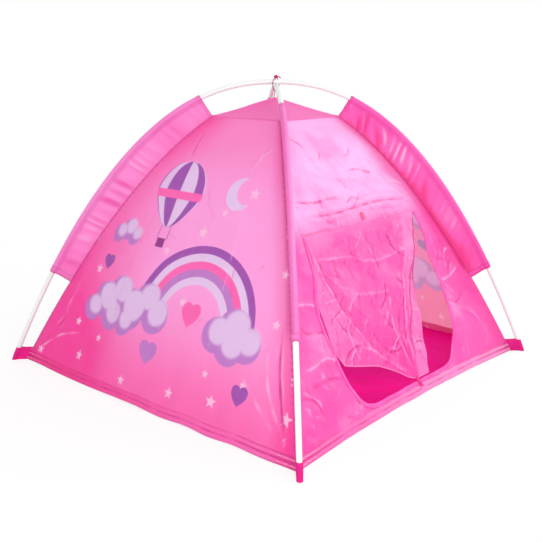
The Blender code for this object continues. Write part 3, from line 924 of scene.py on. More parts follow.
def resampled(path: Array, count: int) -> Array:
    """A path's points at even running lengths."""
    return at_stations(path, np.linspace(0, running_length(path)[-1], count))


def line_mm(*numbers: float) -> tuple[Pair, ...]:
    """The points of a flat line from their coordinates in millimetres, two by two."""
    return tuple((x / 1000, y / 1000) for x, y in zip(numbers[::2], numbers[1::2]))


def smooth_line(knots: Sequence[Sequence[float]], count: int) -> Array:
    """A smooth line through knots, at even lengths.

    Between two knots a cubic takes its slopes from their neighbours.

    Args:
        knots: the points that it passes.
        count: how many points it gets.

    Returns:
        The points.
    """
    knots = np.asarray(knots, float)
    padded = np.concatenate([[2 * knots[0] - knots[1]], knots, [2 * knots[-1] - knots[-2]]])
    share = np.linspace(0, 1, 24, endpoint=False)[:, None, None]
    a, b, c, d = padded[:-3], padded[1:-2], padded[2:-1], padded[3:]
    square, cube = 2 * a - 5 * b + 4 * c - d, 3 * b - a - 3 * c + d
    curve = 0.5 * (2 * b + (c - a) * share + square * share**2 + cube * share**3)
    line = np.concatenate([curve.transpose(1, 0, 2).reshape(-1, knots.shape[1]), knots[-1:]])
    return resampled(line, count)


def step(values: Array, start: float, end: float) -> Array:
    """A smooth step from 0 at start to 1 at end."""
    share = np.clip((values - start) / (end - start), 0, 1)
    return share * share * (3 - 2 * share)


def hump(offset: Array, width: float) -> Array:
    """A bell curve: 1 at an offset of 0, and 1/e at the width."""
    return np.exp(-((offset / width) ** 2))


def unit(vectors: Array) -> Array:
    """Vectors of length 1 in the same directions."""
    return vectors / np.maximum(np.linalg.norm(vectors, axis=-1, keepdims=True), 1e-12)


def turned(points: Array, angle: float) -> Array:
    """Points turned about the upright axis."""
    x, y, z = points[..., 0], points[..., 1], points[..., 2]
    cosine, sine = math.cos(angle), math.sin(angle)
    return np.stack([x * cosine - y * sine, x * sine + y * cosine, z], -1)


def blended(bottom: Array, top: Array, left: Array, right: Array) -> Array:
    """A grid between four edge lines, blended across, less the corners counted twice.

    Args:
        bottom: the first row.
        top: the last row.
        left: the first column.
        right: the last column.

    Returns:
        Rows by columns by the lines' parts.
    """
    bottom, top, left, right = bottom[None], top[None], left[:, None], right[:, None]
    a = np.linspace(0, 1, bottom.shape[1])[None, :, None]
    b = np.linspace(0, 1, left.shape[0])[:, None, None]
    low = (1 - a) * (1 - b) * bottom[:, :1] + a * (1 - b) * bottom[:, -1:]
    high = (1 - a) * b * top[:, :1] + a * b * top[:, -1:]
    return (1 - b) * bottom + b * top + (1 - a) * left + a * right - (low + high)


def swept(path: Array, profile: Array, reference: Sequence[float], closed: bool = False) -> Array:
    """A profile carried along a path, square to it.

    At each point the side direction is the reference crossed with the path's direction.

    Args:
        path: the points of the path.
        profile: (side, up) pairs, one set for all points or one for each.
        reference: a direction that the path never follows.
        closed: whether the path runs back into its start.

    Returns:
        Path by profile by 3 points.
    """
    ahead = np.roll(path, -1, 0) - np.roll(path, 1, 0) if closed else np.gradient(path, axis=0)
    along = unit(ahead)
    side = unit(np.cross(np.asarray(reference, float), along))
    up = np.cross(along, side)
    profile = np.broadcast_to(profile, (len(path), *profile.shape[-2:]))
    return path[:, None] + side[:, None] * profile[..., :1] + up[:, None] * profile[..., 1:]


def ring(sides: int, radius: float = 1.0) -> Array:
    """A round profile."""
    angle = np.linspace(0, TURN, sides, endpoint=False)
    return radius * np.stack([np.cos(angle), np.sin(angle)], -1)


def rod(path: Array, radii: Array | float, sides: int, reference: Sequence[float]) -> Surface:
    """A closed round rod along a path: a ring at each point, and a face at each end."""
    profile = ring(sides)[None] * np.broadcast_to(radii, len(path))[:, None, None]
    return Surface.grid(swept(path, profile, reference), close_columns=True, cap_ends=True)


def stitches(
    path: Array, outward: Array, pitch: float = 0.0046, length: float = 0.0030, radius: float = 0.00032
) -> Surface:
    """A row of stitches: eight-sided bars, pointed at both ends, one to a pitch along the path.

    Args:
        path: the line that the thread follows.
        outward: direction away from the cloth at each of its points.
        pitch: distance from one stitch to the next.
        length: length of a stitch.
        radius: half a stitch's thickness.

    Returns:
        The stitches.
    """
    stations = np.arange(pitch / 2, running_length(path)[-1], pitch)
    away = unit(at_stations(path, stations, outward))
    along = unit(at_stations(path, stations + pitch / 4) - at_stations(path, stations - pitch / 4))
    side = unit(np.cross(along, away))
    middle = at_stations(path, stations) + away * radius
    ends = [middle - along * length / 2, middle + along * length / 2]
    around = [middle + away * radius, middle - side * radius, middle - away * radius, middle + side * radius]
    points = np.stack(ends + around, 1)
    faces = []
    for first, second in ((2, 3), (3, 4), (4, 5), (5, 2)):
        faces += [(0, second, first), (1, first, second)]
    numbers = (np.arange(len(points))[:, None, None] * 6 + np.array(faces)).reshape(-1)
    uv = np.zeros((len(numbers), 2))
    sizes = np.full(len(numbers) // 3, 3)
    return Surface(points.reshape(-1, 3), numbers, sizes, uv, uv.copy(), np.zeros(points.size // 3))


def box_lines(low: Pair, high: Pair, order: str, count: int) -> list[Array]:
    """Sides and diagonals of a box of stitches.

    Args:
        low: the box's corner a.
        high: the corner c opposite it; b lies across from a, and d across from c.
        order: the two corners of each line, such as "ab bc".
        count: points in a line.

    Returns:
        The lines' points.
    """
    corner = {"a": low, "b": (high[0], low[1]), "c": high, "d": (low[0], high[1])}
    share = np.linspace(0, 1, count)[:, None]
    ends = (np.array([corner[name] for name in pair]) for pair in order.split())
    return [start + (end - start) * share for start, end in ends]


# Wrinkles. Every shape's relief takes the place across the cloth and up it, and returns the height there.


def folding(relief: Array, points: Array, span: float = 0.0045, scale: float = 0.00023) -> Array:
    """How sharply a sheet is folded: the fall of its relief, a span away from each point, over the scale.

    Args:
        relief: height off the smooth sheet, rows by columns.
        points: the grid's points, which give the spacing.
        span: distance at which the fall is taken.
        scale: the fall that counts as 1.

    Returns:
        The fold at each point, above 0 on ridges; 0 along the grid's border.
    """
    fold = np.zeros_like(relief)
    for axis in (0, 1):
        gap = np.maximum(np.linalg.norm(np.diff(points, axis=axis), axis=-1), 0.0006)
        slope = np.diff(relief, axis=axis) / gap
        behind, ahead = (np.delete(gap, end, axis) for end in (-1, 0))
        bend = np.diff(slope, axis=axis) * 2 / (ahead + behind)
        inner = (slice(1, -1), slice(None)) if axis == 0 else (slice(None), slice(1, -1))
        fold[inner] -= bend * span**2 / 4
    return np.clip(fold / scale, -2.0, 2.0)


@dataclass(frozen=True)
class Crumple:
    """Random wrinkling: a sum of waves whose directions, lengths and phases come from one seed."""

    seed: int
    height: float
    shortest: float
    longest: float
    waves: int = 22
    sharpness: float = 0.0

    def relief(self, x: Array, y: Array) -> Array:
        """Height of the wrinkles.

        Each wave's height grows with its length. A share of it is a triangle wave, whose tips are crisp
        folds and which is there only in stretches.

        Args:
            x: place across the cloth.
            y: place up the cloth.

        Returns:
            The height at each place.
        """
        random = np.random.default_rng(self.seed)
        length = self.shortest * (self.longest / self.shortest) ** random.random(self.waves)
        angle, phase, offset = (random.random(self.waves) * turn for turn in (math.pi, 1.0, 1.0))
        weight = length / np.sqrt((length**2).sum() / 2)
        total = np.zeros(np.broadcast(x, y).shape)
        for k in range(self.waves):
            run = (x * math.cos(angle[k]) + y * math.sin(angle[k])) / length[k] + phase[k]
            across = (y * math.cos(angle[k]) - x * math.sin(angle[k])) / (2.4 * length[k]) + offset[k]
            wave = np.sin(TURN * run)
            if self.sharpness:
                fold = 1 - 4 * np.abs(run - np.floor(run + 0.5))
                stretch = np.clip(1.3 * np.sin(TURN * across + 1.5 * wave), 0, 1)
                wave = (1 - self.sharpness) * wave + 1.6 * self.sharpness * fold * stretch
            total += weight[k] * wave
        return self.height * total


@dataclass(frozen=True)
class Crease:
    """A fold along a line: a ridge, or a valley where its height is below 0, that fades out at both ends."""

    knots: tuple[Pair, ...]
    height: float
    width: float
    slope: float = 0.0

    @classmethod
    def several(cls, *rows: tuple[float, ...]) -> tuple[Crease, ...]:
        """Creases from rows of height, width and slope in metres, and the knots in millimetres."""
        return tuple(cls(line_mm(*line), height, width, slope) for height, width, slope, *line in rows)

    def relief(self, x: Array, y: Array) -> Array:
        """Height of the fold.

        It is the height over one plus the squared distance from the line in widths. The slope adds a part
        that is raised on the line's left and lowered on its right.

        Args:
            x: place across the cloth.
            y: place up the cloth.

        Returns:
            The height at each place.
        """
        line = smooth_line(self.knots, 4 * len(self.knots))
        lengths = running_length(line)
        nearest = np.full(np.broadcast(x, y).shape, np.inf)
        share = np.zeros_like(nearest)
        hand = np.zeros_like(nearest)
        for (start, end), length in zip(zip(line, line[1:]), lengths):
            along = end - start
            size = np.hypot(*along)
            t = np.clip(((x - start[0]) * along[0] + (y - start[1]) * along[1]) / size**2, 0, 1)
            dx, dy = x - start[0] - t * along[0], y - start[1] - t * along[1]
            distance = np.hypot(dx, dy)
            closer = distance < nearest
            nearest = np.where(closer, distance, nearest)
            share = np.where(closer, (length + t * size) / lengths[-1], share)
            hand = np.where(closer, np.sign(along[0] * dy - along[1] * dx), hand)
        ends = np.sqrt(np.clip(np.sin(math.pi * np.clip(share, 0, 1)), 0, 1))
        ends = ends * (0.85 + 0.15 * np.sin(share * lengths[-1] / 0.011 + 40 * self.height / self.width))
        spread = nearest / self.width
        lean = hand * spread / (1 + spread**2) ** 1.5
        body = 1 / (1 + spread**2)
        return ends * (self.height * body + self.slope * lean)


@dataclass(frozen=True)
class CreaseField:
    """Short folds at random places, as a packed cloth keeps them."""

    seed: int
    count: int
    half_width: float
    foot: float
    top: float
    height: float = 0.0026
    width: float = 0.0055
    shortest: float = 0.030
    longest: float = 0.120

    def relief(self, x: Array, y: Array) -> Array:
        """Height of the folds: each is a ridge or a valley through three knots, with one side raised.

        Args:
            x: place across the cloth.
            y: place up the cloth.

        Returns:
            The height at each place.
        """
        random = np.random.default_rng(self.seed)
        total = np.zeros(np.broadcast(x, y).shape)
        for _ in range(self.count):
            across = random.uniform(-self.half_width, self.half_width)
            centre = np.array([across, random.uniform(self.foot, self.top)])
            angle = random.uniform(0, math.pi)
            half = random.uniform(self.shortest, self.longest) / 2
            along = np.array([math.cos(angle), math.sin(angle)]) * half
            bend = np.array([-along[1], along[0]]) * random.uniform(-0.45, 0.45)
            sense = random.choice([-1.0, 1.0]) * random.uniform(0.45, 1.0)
            knots = tuple(map(tuple, (centre - along, centre + bend, centre + along)))
            size = self.width * random.uniform(0.9, 1.7)
            slope = self.height * random.uniform(-0.9, 0.9)
            total += Crease(knots, self.height * sense, size, slope).relief(x, y)
        return total


# The canopy's shape.


@dataclass(frozen=True)
class Frame:
    """The two bowed poles. In a pole's own upright plane its height falls as a power of the distance."""

    foot_spacing: float = 1.20
    rise: float = 0.885
    power: float = 2.22
    radius: float = 0.0075
    wall: float = 0.0012
    foot_height: float = 0.012
    crossing_gap: float = 0.0003
    middle_length: float = 0.62
    side_length: float = 0.48
    joint_gap: float = 0.0003

    @property
    def foot_radius(self) -> float:
        """Distance of a pole's foot from the tent's middle."""
        return self.foot_spacing / math.sqrt(2)

    @property
    def crossing_offset(self) -> float:
        """How far each pole's axis passes from the crossing's middle."""
        return self.radius + self.crossing_gap / 2

    def height(self, distance: Array, upper: bool) -> Array:
        """Height of a pole's axis."""
        top = self.rise + (self.crossing_offset if upper else -self.crossing_offset)
        share = np.abs(distance) / self.foot_radius
        return self.foot_height + (top - self.foot_height) * (1 - share**self.power)


@dataclass(frozen=True)
class Canopy:
    """The cloth's curve: four ridges over the poles, walls straight from ridge to ridge, plus a bulge."""

    frame: Frame
    foot_inset: float = 0.0245
    crown_drop: float = 0.021
    power: float = 1.72
    cap_seam_drop: float = 0.075
    door_sag: float = 0.026
    side_bulge: float = 0.014
    fade_power: float = 3.0
    flap_seam_height: float = 0.500
    foot_height: float = 0.0012
    levels: int = 400

    @property
    def rise(self) -> float:
        """Height at which the ridges would meet."""
        return self.frame.rise - self.crown_drop

    @property
    def corner_radius(self) -> float:
        """Distance of a ridge's foot from the middle."""
        return (self.frame.foot_spacing - 2 * self.foot_inset) / math.sqrt(2)

    @property
    def seam_height(self) -> float:
        """Height of the seam between walls and roof cap."""
        return self.rise - self.cap_seam_drop

    @property
    def top_run(self) -> float:
        """Length up the middle of a wall to that seam."""
        return float(self.run(self.seam_height))

    def ridge_distance(self, height: Array) -> Array:
        """Distance of the ridge from the middle at a height."""
        return self.corner_radius * np.clip(1 - np.asarray(height) / self.rise, 0, 1.2) ** (1 / self.power)

    def ridge_height(self, distance: Array) -> Array:
        """Height of the ridge at a distance from the middle."""
        return self.rise * (1 - (np.asarray(distance) / self.corner_radius) ** self.power)

    def ridge_normal(self, distance: Array) -> Array:
        """Outward direction square to the ridge, as (distance, height)."""
        steepness = self.rise * self.power / self.corner_radius
        fall = steepness * (distance / self.corner_radius) ** (self.power - 1)
        return unit(np.stack([fall, np.ones_like(fall)], -1))

    def half_width(self, height: Array) -> Array:
        """Half a wall's width at a height."""
        return self.ridge_distance(height) / math.sqrt(2)

    def run(self, height: Array) -> Array:
        """Length up the middle of a wall from its foot to a height."""
        levels = np.linspace(0, self.seam_height + 0.03, self.levels)
        path = np.stack([self.half_width(levels), levels], -1)
        return np.interp(height, levels, running_length(path))

    def height_at_run(self, run: Array) -> Array:
        """Height at a length up the middle of a wall."""
        levels = np.linspace(0, self.seam_height, self.levels)
        return np.interp(run, self.run(levels), levels)

    def wall_normal(self, height: Array) -> Array:
        """Outward direction square to the wall that faces -Y."""
        normal = self.ridge_normal(self.ridge_distance(height))
        across, up = normal[..., 0] * math.sqrt(2), normal[..., 1]
        return unit(np.stack([np.zeros_like(up), -across, up], -1))

    def wall_point(self, x: Array, height: Array, door: bool, lift: Array | float = 0.0) -> Array:
        """A point on the outer face of the wall that faces -Y.

        It stands half the wall's width out from the middle, plus a parabola across the wall that fades out
        going up: inward on the door wall, outward on the others.

        Args:
            x: place across.
            height: height over the floor.
            door: whether it is the door wall.
            lift: distance off the face.

        Returns:
            The points.
        """
        x, height = np.broadcast_arrays(np.asarray(x, float), np.asarray(height, float))
        half = self.half_width(height)
        bulge, straight = self.side_bulge, self.seam_height
        if door:
            bulge, straight = -self.door_sag, self.flap_seam_height
        across = 1 - np.minimum(np.abs(x) / half, 1) ** 2
        fade = np.clip(1 - (height / straight) ** self.fade_power, 0, 1)
        face = np.stack([x, -half - bulge * across * fade, height], -1)
        return face + self.wall_normal(height) * np.asarray(lift)[..., None]


@dataclass(frozen=True)
class Wall:
    """One wall's cloth, with its wrinkles."""

    canopy: Canopy
    side: Side
    wrinkles: tuple[Crumple | CreaseField, ...]
    creases: tuple[Crease, ...]
    inset: float = 0.0011
    free_inset: float = 0.0002
    sleeve_foot: float = 0.262
    edge_fade: float = 0.050
    top_fade: float = 0.06
    foot_fade: float = 0.07
    foot_share: float = 0.25
    foot_ripple: float = 0.0042
    foot_ripple_length: float = 0.105
    foot_ripple_reach: float = 0.11
    pucker: float = 0.0004
    pucker_length: float = 0.017
    pucker_reach: float = 0.010
    foot_lift: float = 0.0045
    foot_wave_length: float = 0.29
    foot_wave_reach: float = 0.05
    seam_shade: float = 0.0060
    seam_shade_strength: float = 2.3
    calm: tuple[tuple[float, float, float], ...] = ()

    def half_width(self, height: Array) -> Array:
        """Half the cloth's width, less its inset from the ridge, which is larger beside a sleeve."""
        share = step(np.asarray(height), self.sleeve_foot - 0.02, self.sleeve_foot)
        return self.canopy.half_width(height) - self.free_inset - (self.inset - self.free_inset) * share

    def relief(self, x: Array, height: Array) -> Array:
        """Height of the wrinkles off the canopy's curve.

        Wrinkles and creases die away toward the ridges, the roof seam and the foot, and in the calm spots
        under the straps. Ripples run up from the foot, and small puckers stand along both ridge seams.

        Args:
            x: place across.
            height: height over the floor.

        Returns:
            The height at each place.
        """
        run = self.canopy.run(height)
        edge = np.maximum(self.canopy.half_width(height) - np.abs(x), 0)
        below_top = self.canopy.top_run - run
        fade = step(edge, 0, self.edge_fade) * step(below_top, 0, self.top_fade)
        fade = fade * (self.foot_share + (1 - self.foot_share) * step(run, 0, self.foot_fade))
        total = sum(shape.relief(x, run) for shape in self.wrinkles)
        total = total + sum(crease.relief(x, height) for crease in self.creases)
        phase = TURN * x / self.foot_ripple_length + 1.3 * np.sin(5.1 * x + self.side.turn)
        fading = np.exp(-run / self.foot_ripple_reach) * step(run, 0, 0.05)
        ripple = self.foot_ripple * np.sin(phase) * fading
        near_seam = np.exp(-edge / self.pucker_reach) * step(edge, 0, 0.004)
        near_seam = near_seam * step(below_top, 0, 0.05) * step(run, 0.02, 0.08)
        seam = self.pucker * np.sin(TURN * run / self.pucker_length + 2.0 * np.sin(31 * run)) * near_seam
        total = (total + ripple) * fade
        for spot_x, spot_height, radius in self.calm:
            total = total * (1 - hump(np.hypot(x - spot_x, height - spot_height), radius))
        return total + seam

    def sheet(self, x: Array, height: Array) -> tuple[Array, Array]:
        """Points on the wrinkled cloth and its painted light: a painted highlight and shade by its folds,
        and a painted shade along the ridge seams.
        """
        relief = self.relief(x, height)
        points = self._stood(x, height, relief)
        edge = self.canopy.half_width(height) - np.abs(x)
        return points, folding(relief, points) - self.seam_shade_strength * np.exp(-edge / self.seam_shade)

    def place(self, x: Array, height: Array, lift: Array | float = 0.0) -> Array:
        """Points on the wrinkled cloth, lifted off its outer face."""
        x, height = np.broadcast_arrays(np.asarray(x, float), np.asarray(height, float))
        return self._stood(x, height, self.relief(x, height) + lift)

    def _stood(self, x: Array, height: Array, lift: Array) -> Array:
        """Points off the canopy's curve, turned to the wall's side.

        The foot has shallow waves, by which it leaves the floor between the corners.
        """
        share = np.abs(x) / self.canopy.half_width(height)
        phase = TURN * x / self.foot_wave_length + 2.2 * np.sin(6.0 * x + self.side.turn)
        wave = (0.5 - 0.5 * np.cos(phase)) * (1 - share**4) * np.exp(-height / self.foot_wave_reach)
        hung = height + self.foot_lift * wave
        return turned(self.canopy.wall_point(x, hung, self.side is Side.DOOR, lift), self.side.turn)

    def outward(self, height: Array) -> Array:
        """Outward direction of the wall."""
        return turned(self.canopy.wall_normal(np.asarray(height, float)), self.side.turn)

    def uv(self, x: Array, height: Array) -> Array:
        """Cloth coordinates in metres."""
        return np.stack([x, self.canopy.run(height)], -1)

    def panel(self, x: Array, height: Array) -> Array:
        """Relative place: -1 to 1 across, 0 to 1 up."""
        return np.stack([x / self.canopy.half_width(height), height / self.canopy.seam_height], -1)

    def flat_area(self, hole: float = 0.0) -> float:
        """The cut's flat area: widths added up over the run, less a hole."""
        run = np.linspace(0, self.canopy.top_run, 400)
        widths = 2 * self.half_width(self.canopy.height_at_run(run))
        return float(np.trapz(widths, run)) - hole


@dataclass(frozen=True)
class Doorway:
    """The opening in the door wall, with sides that widen downward and superellipse lower corners.

    It leans a little, and its left edge bows out.
    """

    top: float = 0.495
    widest: float = 0.300
    sill: float = 0.040
    half_top: float = 0.275
    half_widest: float = 0.300
    half_sill: float = 0.165
    power: float = 2.5
    lean: float = 0.011
    bulge: float = 0.014
    bulge_height: float = 0.335
    bulge_reach: float = 0.06

    def right_side(self) -> Array:
        """The right edge as (x, height), from its top down to the sill."""
        share = np.linspace(0, 1, 40, endpoint=False)
        x = self.half_top + (self.half_widest - self.half_top) * share
        straight = np.stack([x, self.top + (self.widest - self.top) * share], -1)
        angle = np.linspace(0, math.pi / 2, 120)
        power = 2 / self.power
        x = self.half_sill + (self.half_widest - self.half_sill) * np.clip(np.cos(angle), 0, 1) ** power
        height = self.widest - (self.widest - self.sill) * np.sin(angle) ** power
        return np.concatenate([straight, np.stack([x, height], -1)])

    def outline(self, count: int) -> Array:
        """The edge from its top left corner round the sill to its top right, at even lengths."""
        right = self.right_side()
        line = np.concatenate([right * (-1, 1), right[::-1]])
        line[:, 0] -= self.lean * step(line[:, 1], 0.08, 0.42)
        slack = hump(line[:, 1] - self.bulge_height, self.bulge_reach) * step(-line[:, 0], 0.0, 0.2)
        line[:, 0] -= self.bulge * slack
        return resampled(line, count)


# Pieces.


@dataclass
class Walls:
    """The four cloth walls with their hems."""

    canopy: Canopy
    finishes: Finishes
    doorway: Doorway = field(default_factory=Doorway)
    cloth_thickness: float = 0.0004
    columns: int = 210
    rows: int = 190
    ring_columns: int = 620
    ring_rows: int = 72
    ring_centre: Pair = (0.0, 0.270)
    doorway_points: int = 500
    doorway_top_points: int = 80
    edge_points: int = 300
    head_points: int = 200
    tape_line: float = 0.0108
    tape_shade: float = 0.0048
    tape_shade_strength: float = 0.7
    slack_shade_strength: float = 1.6
    slack_corner: Pair = (-0.300, 0.430)
    slack_reach: float = 0.080
    hem_height: float = 0.028
    hem_thickness: float = 0.0024
    hem_valley: float = 0.0006
    hem_back: float = 0.0002
    hem_roll_power: float = 0.6
    hem_columns: int = 220
    hem_stitch_levels: Pair = (0.0140, 0.0262)
    tape_stitch_line: float = 0.0078
    tape_profile = (
        (0.0100, 0.0002), (0.0098, 0.0013), (0.0060, 0.0015), (0.0020, 0.0016),
        (-0.0006, 0.0013), (-0.0014, 0.0004), (-0.0014, -0.0008), (-0.0006, -0.0016),
        (0.0020, -0.0018), (0.0060, -0.0017), (0.0098, -0.0015), (0.0100, -0.0006),
    )

    door: Wall = field(init=False)
    printed: tuple[Wall, ...] = field(init=False)

    def __post_init__(self) -> None:
        """Settle each wall's wrinkles."""
        wrinkles = (
            Crumple(11, 0.0032, 0.16, 0.42),
            Crumple(12, 0.0020, 0.070, 0.20, 10, 0.5),
            CreaseField(13, 60, 0.50, 0.03, 0.86, 0.0034),
        )
        creases = Crease.several(
            (0.0040, 0.016, 0, -500, 30, -430, 120, -340, 230),
            (-0.0032, 0.018, 0, -520, 60, -450, 190, -380, 330),
            (0.0046, 0.008, 0, -464, 195, -412, 199, -358, 204, -305, 191),
            (-0.0046, 0.009, 0, -445, 155, -384, 155, -325, 147, -285, 129),
            (0.0036, 0.006, 0, -430, 350, -370, 343, -325, 329),
            (-0.0042, 0.006, 0, -415, 300, -387, 275, -354, 270, -318, 263),
            (0.0050, 0.007, 0, 420, 315, 354, 287, 309, 281, 283, 279),
            (-0.0046, 0.008, 0, 415, 230, 360, 205, 300, 222),
            (0.0048, 0.011, 0, 470, 60, 420, 150, 330, 205),
            (0.0034, 0.009, 0, -235, 560, -120, 549, -10, 552, 110, 560, 225, 548),
            (-0.0028, 0.008, 0, -260, 528, -150, 520, 20, 531, 180, 522, 262, 530),
            (-0.0036, 0.006, 0, -245, 545, -130, 537, -20, 541, 100, 546, 230, 536),
            (-0.0028, 0.008, 0.003, -270, 590, -190, 577, -60, 580),
            (0.0018, 0.010, 0, -200, 640, -150, 580, -135, 520),
            (0.0016, 0.012, 0, 20, 760, 40, 680, 60, 600, 55, 530),
            (0.0036, 0.009, 0, 150, 640, 190, 580, 250, 530),
        )
        calm = ((0.040, 0.036, 0.050), (0.0, 0.514, 0.028))
        self.door = Wall(self.canopy, Side.DOOR, wrinkles, creases, foot_lift=0.0012, calm=calm)
        seeds = {Side.LEFT: 31, Side.BACK: 51, Side.RIGHT: 71}
        self.printed = tuple(self._closed(side, seed) for side, seed in seeds.items())

    def _closed(self, side: Side, seed: int) -> Wall:
        """A wall without a door, wrinkled by seeds that count up from one."""
        wrinkles = (
            Crumple(seed, 0.0026, 0.20, 0.50),
            Crumple(seed + 1, 0.0010, 0.080, 0.22, 10, 0.4),
            CreaseField(seed + 2, 20, 0.52, 0.03, 0.86, 0.0016),
        )
        creases = Crease.several(
            (0.0012, 0.005, 0, 205, 45, 198, 250, 180, 470, 150, 620),
            (-0.0012, 0.006, 0, -215, 50, -205, 260, -185, 460, -150, 630),
            (0.0008, 0.005, 0, 5, 120, 0, 330, 6, 560),
            (0.0009, 0.005, 0, -440, 215, -180, 222, 120, 214, 430, 220),
            (-0.0009, 0.006, 0, -350, 420, -100, 428, 150, 421, 350, 426),
            (-0.0048, 0.008, 0.004, 425, 300, 445, 220, 475, 140, 515, 60),
            (0.0046, 0.010, 0, 395, 240, 430, 160, 480, 90, 525, 45),
            (0.0036, 0.012, -0.003, 340, 170, 420, 110, 500, 50),
            (0.0042, 0.011, 0.003, -530, 30, -440, 100, -330, 135),
            (-0.0040, 0.010, 0, -520, 45, -450, 140, -380, 190),
            (0.0036, 0.012, 0, -500, 60, -430, 200, -400, 300),
            (0.0020, 0.012, 0, 120, 770, 160, 660, 170, 540),
            (0.0016, 0.012, 0, -120, 770, -150, 660, -170, 560),
        )
        return Wall(self.canopy, side, wrinkles, creases)

    def build(self) -> None:
        """Make every wall and hem."""
        size = (2 * float(self.canopy.half_width(self.canopy.foot_height)), self.canopy.top_run)
        for wall in self.printed:
            hem = self._hem(wall, self.finishes.hem)
            piece = self._printed_wall(wall)
            wall.flat_area()
        hem = self._hem(self.door, self.finishes.door_hem)
        tape = self._door_tape()
        piece = self._door_wall()
        hole = self.doorway.outline(400)
        opening = abs(float(np.trapz(hole[:, 0], self.canopy.run(hole[:, 1]))))
        area = self.door.flat_area(opening)

    def _printed_wall(self, wall: Wall) -> Object:
        """One printed wall: an even grid across and up."""
        foot = float(self.canopy.run(self.canopy.foot_height))
        height = self.canopy.height_at_run(np.linspace(foot, self.canopy.top_run, self.rows))[:, None]
        x = np.linspace(-1, 1, self.columns) * wall.half_width(height)
        height = np.broadcast_to(height, x.shape)
        points, painted_light = wall.sheet(x, height)
        surface = Surface.grid(points, wall.uv(x, height), wall.panel(x, height), painted_light)
        name, finish = f"{wall.side.label}_wall", self.finishes.print_cloth
        return surface.put(f"{name}_cloth", finish, Slot.PRINTED, name, thickness=self.cloth_thickness)

    def _door_wall(self) -> Object:
        """The door wall: rings that pass from the doorway's edge to the wall's, on rays from one centre."""
        wall, canopy = self.door, self.canopy
        centre = np.array(self.ring_centre)
        outline = self.doorway.outline(self.doorway_points)
        top = np.linspace(outline[-1], outline[0], self.doorway_top_points)[1:-1]
        inner = np.concatenate([outline, top])

        runs = np.linspace(canopy.run(canopy.foot_height), canopy.top_run, self.edge_points)
        heights = canopy.height_at_run(runs)
        right = np.stack([wall.half_width(heights), heights], -1)
        foot = np.linspace(-1, 1, self.edge_points)[1:-1, None] * (right[0, 0], 0) + (0, right[0, 1])
        head = np.linspace(1, -1, self.head_points)[1:-1, None] * (right[-1, 0], 0) + (0, right[-1, 1])
        outer = np.concatenate([foot, right, head, (right * (-1, 1))[::-1]])

        def polar(line: Array) -> tuple[Array, Array]:
            """Angle and radius of a closed line about the centre, in order of angle."""
            offset = line - centre
            angle = np.arctan2(offset[:, 1], offset[:, 0])
            order = np.argsort(angle)
            return angle[order], np.hypot(*offset.T)[order]

        corners = (*outline[[0, -1]], *right[[0, -1]], *(right * (-1, 1))[[0, -1]])
        kept = [polar(np.array([point]))[0][0] for point in corners]
        angles = np.linspace(-math.pi, math.pi, self.ring_columns, endpoint=False)
        angles = np.sort(np.concatenate([angles, kept]))
        start, end = (np.interp(angles, *polar(line), period=TURN) for line in (inner, outer))
        share = np.linspace(0, 1, self.ring_rows)[:, None]
        radius = start + (end - start) * share
        x = centre[0] + radius * np.cos(angles)
        height = centre[1] + radius * np.sin(angles)
        x, height = (np.concatenate([part, part[:, :1]], 1) for part in (x, height))
        points, painted_light = wall.sheet(x, height)
        # A painted shade runs round the doorway along the tape's outer edge, deeper at the slack upper left
        # corner.
        gap = ((end - start) * share)[:, [*range(len(angles)), 0]]
        corner = hump(np.hypot(x - self.slack_corner[0], height - self.slack_corner[1]), self.slack_reach)
        depth = self.tape_shade_strength + self.slack_shade_strength * corner
        painted_light = painted_light - depth * hump(gap - self.tape_line, self.tape_shade)
        points, painted_light = (part[:, ::-1][:, :-1] for part in (points, painted_light))
        uv, panel = (maker(x, height)[:, ::-1] for maker in (wall.uv, wall.panel))
        surface = Surface.grid(points, uv, panel, painted_light, close_columns=True)
        finish, thickness = self.finishes.door, self.cloth_thickness
        return surface.put("door_wall_cloth", finish, Slot.DOOR, "door_wall", thickness=thickness)

    def _hem(self, wall: Wall, material: Material) -> Object:
        """The band along a wall's foot: cloth rolled over twice, so that its face swells in two rolls."""
        count = 15
        share = np.linspace(0, 1, count)
        roll = np.abs(np.sin(TURN * share)) ** self.hem_roll_power
        swell = self.hem_valley + (self.hem_thickness - 0.0007) * roll
        front = np.stack([share * self.hem_height, swell], -1)
        back = np.stack([share[::-1] * self.hem_height, np.full(count, self.hem_back)], -1)
        profile = np.concatenate([front, back])
        height = profile[None, :, 0] + self.canopy.foot_height
        across = np.linspace(-1, 1, self.hem_columns)[:, None]
        x = across * wall.half_width(height)
        wobble = 1 + 0.10 * np.sin(TURN * x / 0.034) * np.sin(TURN * x / 0.31)
        points = wall.place(x, np.broadcast_to(height, x.shape), profile[None, :, 1] * wobble)
        # Painted shade along the grooves at and between the rolls, darker and uneven near both corners, and
        # a faint painted highlight on the rolls.
        painted_groove_light = np.concatenate([np.interp(roll, [0, 0.8, 1], [-2.0, -0.2, 0.35]), np.zeros(count)])
        corner = 2.6 * hump(1 - np.abs(across), 0.20) * (1 + 0.5 * np.sin(TURN * x / 0.023))
        painted_groove_light = painted_groove_light * (0.8 + corner + 0.7 * np.sin(TURN * x / 0.21) * np.sin(TURN * x / 0.083))
        panel = np.stack(np.broadcast_arrays(across, np.zeros((1, 2 * count + 1))), -1)
        band = Surface.grid(
            points[::-1], panel=panel[::-1], painted_light=painted_groove_light[::-1], close_columns=True, cap_ends=True
        )

